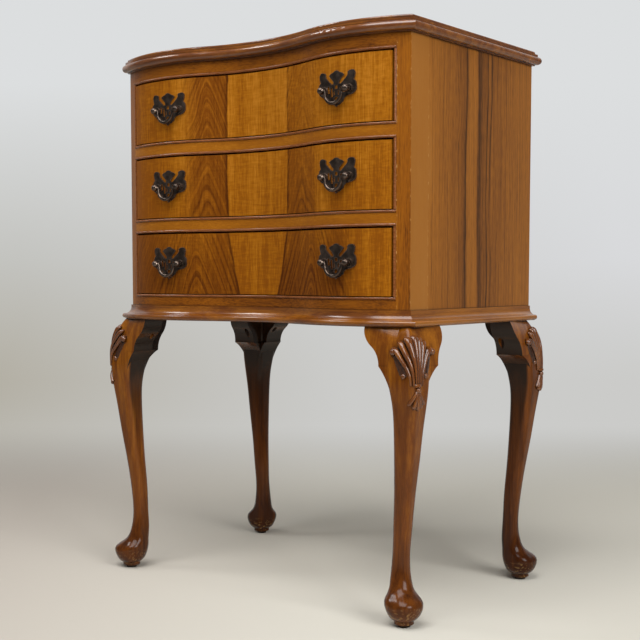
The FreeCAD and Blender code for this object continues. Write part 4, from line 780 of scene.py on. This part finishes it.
class CHEST_OT_finishes(bpy.types.Operator):
    """Give every solid of the chest its wood or metal"""
    bl_idname = "chest.finishes"
    bl_label = "Wood and Metal Finishes"

    def execute(self, context):
        finish = context.scene.chest_finish
        leg = solid_walnut(finish, "solid walnut leg", "Z", 41, base=0.5, gloss=0.25, leg=True)
        # The back legs get a darker copy of the leg wood: painted shade
        shaded_back_leg = solid_walnut(finish, "shaded solid walnut leg", "Z", 45, base=0.72, gloss=0.2, leg=True)
        # The side mouldings are drawn lighter than the front one: painted light from the right
        lit_side_moulding = solid_walnut(finish, "lit solid walnut along the side", "Y", 31, base=0.2, gloss=0.85)
        lining = lining_wood("pale hardwood lining", finish.hardwood, "Y", 1)
        cross_lining = lining_wood("pale hardwood rail", finish.hardwood, "X", 2)
        panel = lining_wood("plywood panel", finish.plywood, "X", 3)
        brass = aged_brass(finish)
        looks = {
            "_drawer_front": figured_veneer(finish),
            "side_panel": striped_veneer(finish),
            "stile": plain_veneer(finish, "straight walnut veneer on the stiles", "Z", 51, base=0.72,
                                  corner=True),
            "rail": plain_veneer(finish, "straight walnut veneer on the rails", "X", 61, base=0.45),
            "top_front_rail": plain_veneer(finish, "dark walnut veneer on the top rail", "X", 63, base=0.72),
            "bottom_front_rail": plain_veneer(finish, "dark walnut veneer on the bottom rail", "X", 65,
                                              base=0.8),
            "top_board": solid_walnut(finish, "walnut top", "X", 71, base=0.45, gloss=0.9),
            "opening_beads": bead_wood(finish),
            "front_moulding": solid_walnut(finish, "solid walnut along the front", "X", 21, base=0.4,
                                           gloss=0.65),
            "left_moulding": lit_side_moulding,
            "right_moulding": lit_side_moulding,
            "front_left_leg": leg,
            "front_right_leg": leg,
            "back_left_leg": shaded_back_leg,
            "back_right_leg": shaded_back_leg,
            "knee_blocks": leg,
            "_drawer_left_side": lining,
            "_drawer_right_side": lining,
            "drawer_runners": lining,
            "_drawer_back": cross_lining,
            "back_top_rail": cross_lining,
            "bottom_board": cross_lining,
            "drawer_stops": cross_lining,
            "_drawer_bottom": panel,
            "back_panel": panel,
            "handle_plates": brass,
            "handle_posts": brass,
            "_bail": brass,
            "handle_nuts": plain_metal("dull brass nut", finish.nut_brass, 0.4),
            "screws": plain_metal("dull screw steel", finish.screw_steel, 0.45),
            "foot_glides": plain_metal("dark glide steel", finish.glide_steel, 0.5),
        }
        for name, solid in frame["nodes"].items():
            keys = [key for key in looks if key in name]
            if not keys:
                raise RuntimeError(f"no finish for {name}")
            dress(solid, looks[max(keys, key=len)])
        return {"FINISHED"}


class CHEST_OT_knee_shells(bpy.types.Operator):
    """Carve a shell on the knee of every leg"""
    bl_idname = "chest.knee_shells"
    bl_label = "Knee Shells"

    def execute(self, context):
        carving, finish = context.scene.chest_carving, context.scene.chest_finish
        wood = solid_walnut(finish, "carved walnut shell", "Z", 81, base=0.55, gloss=0.8)
        first = carve_shell(carving, KneeSurface(carving), wood, punched_wood(finish))
        halfway = (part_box("front_right_leg")[0].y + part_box("back_right_leg")[1].y) / 2
        shells = [first]
        for leg, (right, ahead) in LEGS.items():
            location = (0, 0 if ahead > 0 else 2 * halfway, 0)
            shells.append(placed_copy(first, f"{leg}_knee_shell", location, scale=(right, ahead, 1)))
            close_piece(shells[-1])
        for shell in shells:
            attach(shell, "carcass")
        return {"FINISHED"}


class CHEST_OT_bails(bpy.types.Operator):
    """Bend a swelled bail for every handle in place of its plain solid"""
    bl_idname = "chest.bails"
    bl_label = "Swelled Bails"

    def execute(self, context):
        brass = bpy.data.materials["aged brass"]
        first = bend_wire(context.scene.chest_bail)
        hinges = {j["name"]: j for j in frame["joints"]}
        for drawer in DRAWERS:
            for side in SIDES:
                hinge = hinges[f"{drawer}_{side}_bail_hinge"]
                turn = math.atan2(-hinge["axis"][1], -hinge["axis"][0])
                bail = placed_copy(first, f"{drawer}_{side}_swelled_bail", hinge["pos_m"], turn)
                dress(bail, brass)
                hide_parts(f"{drawer}_{side}_bail")
                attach(bail, f"{drawer}_{side}_bail_swing")
        bpy.data.objects.remove(first)
        return {"FINISHED"}


class CHEST_OT_stage(bpy.types.Operator):
    """Set up the pale paper sweep, the soft lights and the camera"""
    bl_idname = "chest.stage"
    bl_label = "Studio Stage"

    def execute(self, context):
        stage = context.scene.chest_stage
        self.paper_sweep(stage)
        self.lights(context, stage)
        self.camera(context, stage)
        context.scene.view_settings.view_transform = "Standard"
        return {"FINISHED"}

    def paper_sweep(self, stage):
        """One sheet of paper that runs along the floor and curves up behind the chest."""
        deselect_all()
        wide, deep, far, bend, rise = 12, 6.2, 2.2, 1.6, 2.4
        bpy.ops.mesh.primitive_plane_add(size=1)
        sheet = bpy.context.object
        sheet.name = sheet.data.name = "studio_paper"
        sheet.scale = (wide, deep, 1)
        sheet.location = (0, far - deep / 2, 0)
        bpy.ops.object.transform_apply(location=True, rotation=True, scale=True)
        for vertex in sheet.data.vertices:
            vertex.select = vertex.co.y > far - 10 * MM
        bpy.ops.object.mode_set(mode="EDIT")
        bpy.ops.mesh.select_mode(type="VERT")
        bpy.ops.mesh.spin(steps=24, angle=-math.pi / 2, center=(0, far, bend), axis=(1, 0, 0))
        bpy.ops.mesh.extrude_region_move(TRANSFORM_OT_translate={"value": (0, 0, rise)})
        bpy.ops.object.mode_set(mode="OBJECT")
        sheet.rotation_euler = (0, 0, stage.turn)
        bpy.ops.object.transform_apply(location=True, rotation=True, scale=True)
        bpy.ops.object.shade_smooth()
        dress(sheet, self.paper(stage))

    def paper(self, stage):
        """Seamless studio paper, matt and pale, a little darker on the left in painted shade.

        The wall is out of the lights' reach, so it glows for the camera and in reflections, in painted light:
        darker on the left and low down, lighter on the right and at the top.
        """
        material, tree, shader, place = new_material("pale studio paper")
        shader.inputs["Roughness"].default_value = 0.9
        shader.inputs["Specular IOR Level"].default_value = 0.1
        # Metres to the right of the chest's middle and behind it, as the camera sees them
        rightwards = (math.cos(stage.turn), math.sin(stage.turn), 0)
        away = (-math.sin(stage.turn), math.cos(stage.turn), 0)
        aside, behind = (node(tree, "ShaderNodeVectorMath", {0: place, 1: way}, operation="DOT_PRODUCT")
                         .outputs["Value"] for way in (rightwards, away))
        height = node(tree, "ShaderNodeSeparateXYZ", {0: place}).outputs[2]
        # Painted shade on the left of the floor, and painted light and shade across the glowing wall
        floor = shade(tree, aside, -0.55, 0.0, stage.shaded_floor_left, stage.floor)
        tree.links.new(floor, shader.inputs["Base Color"])
        bottom = shade(tree, aside, -1.2, 0.1, stage.low_left, stage.low_right)
        middle = shade(tree, aside, -1.3, 1.3, stage.wall_left, stage.wall_right)
        lower = shade(tree, height, 0.05, 0.5, bottom, middle)
        tone = shade(tree, height, 0.5, 1.3, lower, stage.wall_top)
        glow = node(tree, "ShaderNodeEmission", {"Color": tone}).outputs[0]
        rays = node(tree, "ShaderNodeLightPath").outputs
        seen = rays["Is Camera Ray"]
        for other in (rays["Is Glossy Ray"], rays["Is Transmission Ray"]):
            seen = node(tree, "ShaderNodeMath", {0: seen, 1: other}, operation="MAXIMUM").outputs[0]
        wall = node(tree, "ShaderNodeMapRange", {0: behind, 1: 0.5, 2: 1.7},
                    interpolation_type="SMOOTHSTEP").outputs[0]
        share = node(tree, "ShaderNodeMath", {0: seen, 1: wall}, operation="MULTIPLY").outputs[0]
        mixed = node(tree, "ShaderNodeMixShader", {0: share, 1: shader.outputs[0], 2: glow})
        tree.links.new(mixed.outputs[0], tree.nodes["Material Output"].inputs["Surface"])
        return material

    def lights(self, context, stage):
        """A broad soft light overhead, one from the right for the side and a small one for the glints."""
        aim = Vector((0, 0, 0.45))
        for name, place, size, watts in (("overhead", (0.3, -1.25, 2.6), 2.0, 64),
                                         ("right", (2.7, -0.7, 1.7), 1.6, 52),
                                         ("glint", (-1.75, -1.0, 2.5), 0.6, 13)):
            lamp = bpy.data.lights.new(name, "AREA")
            lamp.size = size
            lamp.energy = watts
            item = bpy.data.objects.new(name, lamp)
            context.scene.collection.objects.link(item)
            item.location = place
            item.rotation_euler = (aim - Vector(place)).to_track_quat("-Z", "Y").to_euler()
        world = bpy.data.worlds.new("studio air")
        context.scene.world = world
        world.use_nodes = True
        background = world.node_tree.nodes["Background"]
        background.inputs["Color"].default_value = stage.air
        background.inputs["Strength"].default_value = stage.air_strength

    def camera(self, context, stage):
        """A camera before the right front corner, at about the height of the lower drawer."""
        lens = bpy.data.cameras.new("photo camera")
        lens.lens = stage.lens
        lens.sensor_width = 36
        lens.shift_y = stage.shift
        item = bpy.data.objects.new("photo camera", lens)
        context.scene.collection.objects.link(item)
        item.location = stage.place
        item.rotation_euler = (math.pi / 2 - stage.tilt, 0, stage.turn)
        context.scene.camera = item


class CHEST_PT_panel(bpy.types.Panel):
    """Steps that dress the chest"""
    bl_label = "Walnut Chest"
    bl_idname = "CHEST_PT_panel"
    bl_space_type = "VIEW_3D"
    bl_region_type = "UI"
    bl_category = "Chest"

    def draw(self, context):
        for step in STEPS:
            self.layout.operator(step.bl_idname)
        for group in GROUPS:
            settings = getattr(context.scene, group)
            for name in settings.__annotations__:
                self.layout.prop(settings, name)


STEPS = (CHEST_OT_finishes, CHEST_OT_knee_shells, CHEST_OT_bails, CHEST_OT_stage)
GROUPS = {"chest_finish": ChestFinish, "chest_carving": ChestCarving, "chest_bail": ChestBail,
          "chest_stage": ChestStage}


def register():
    for cls in (*GROUPS.values(), *STEPS, CHEST_PT_panel):
        bpy.utils.register_class(cls)
    for name, cls in GROUPS.items():
        setattr(bpy.types.Scene, name, bpy.props.PointerProperty(type=cls))


def unregister():
    for name in GROUPS:
        delattr(bpy.types.Scene, name)
    for cls in (CHEST_PT_panel, *reversed(STEPS), *reversed(GROUPS.values())):
        bpy.utils.unregister_class(cls)


def main():
    register()
    bpy.ops.chest.finishes()
    bpy.ops.chest.knee_shells()
    bpy.ops.chest.bails()
    bpy.ops.chest.stage()


if __name__ == "__main__":
    main()
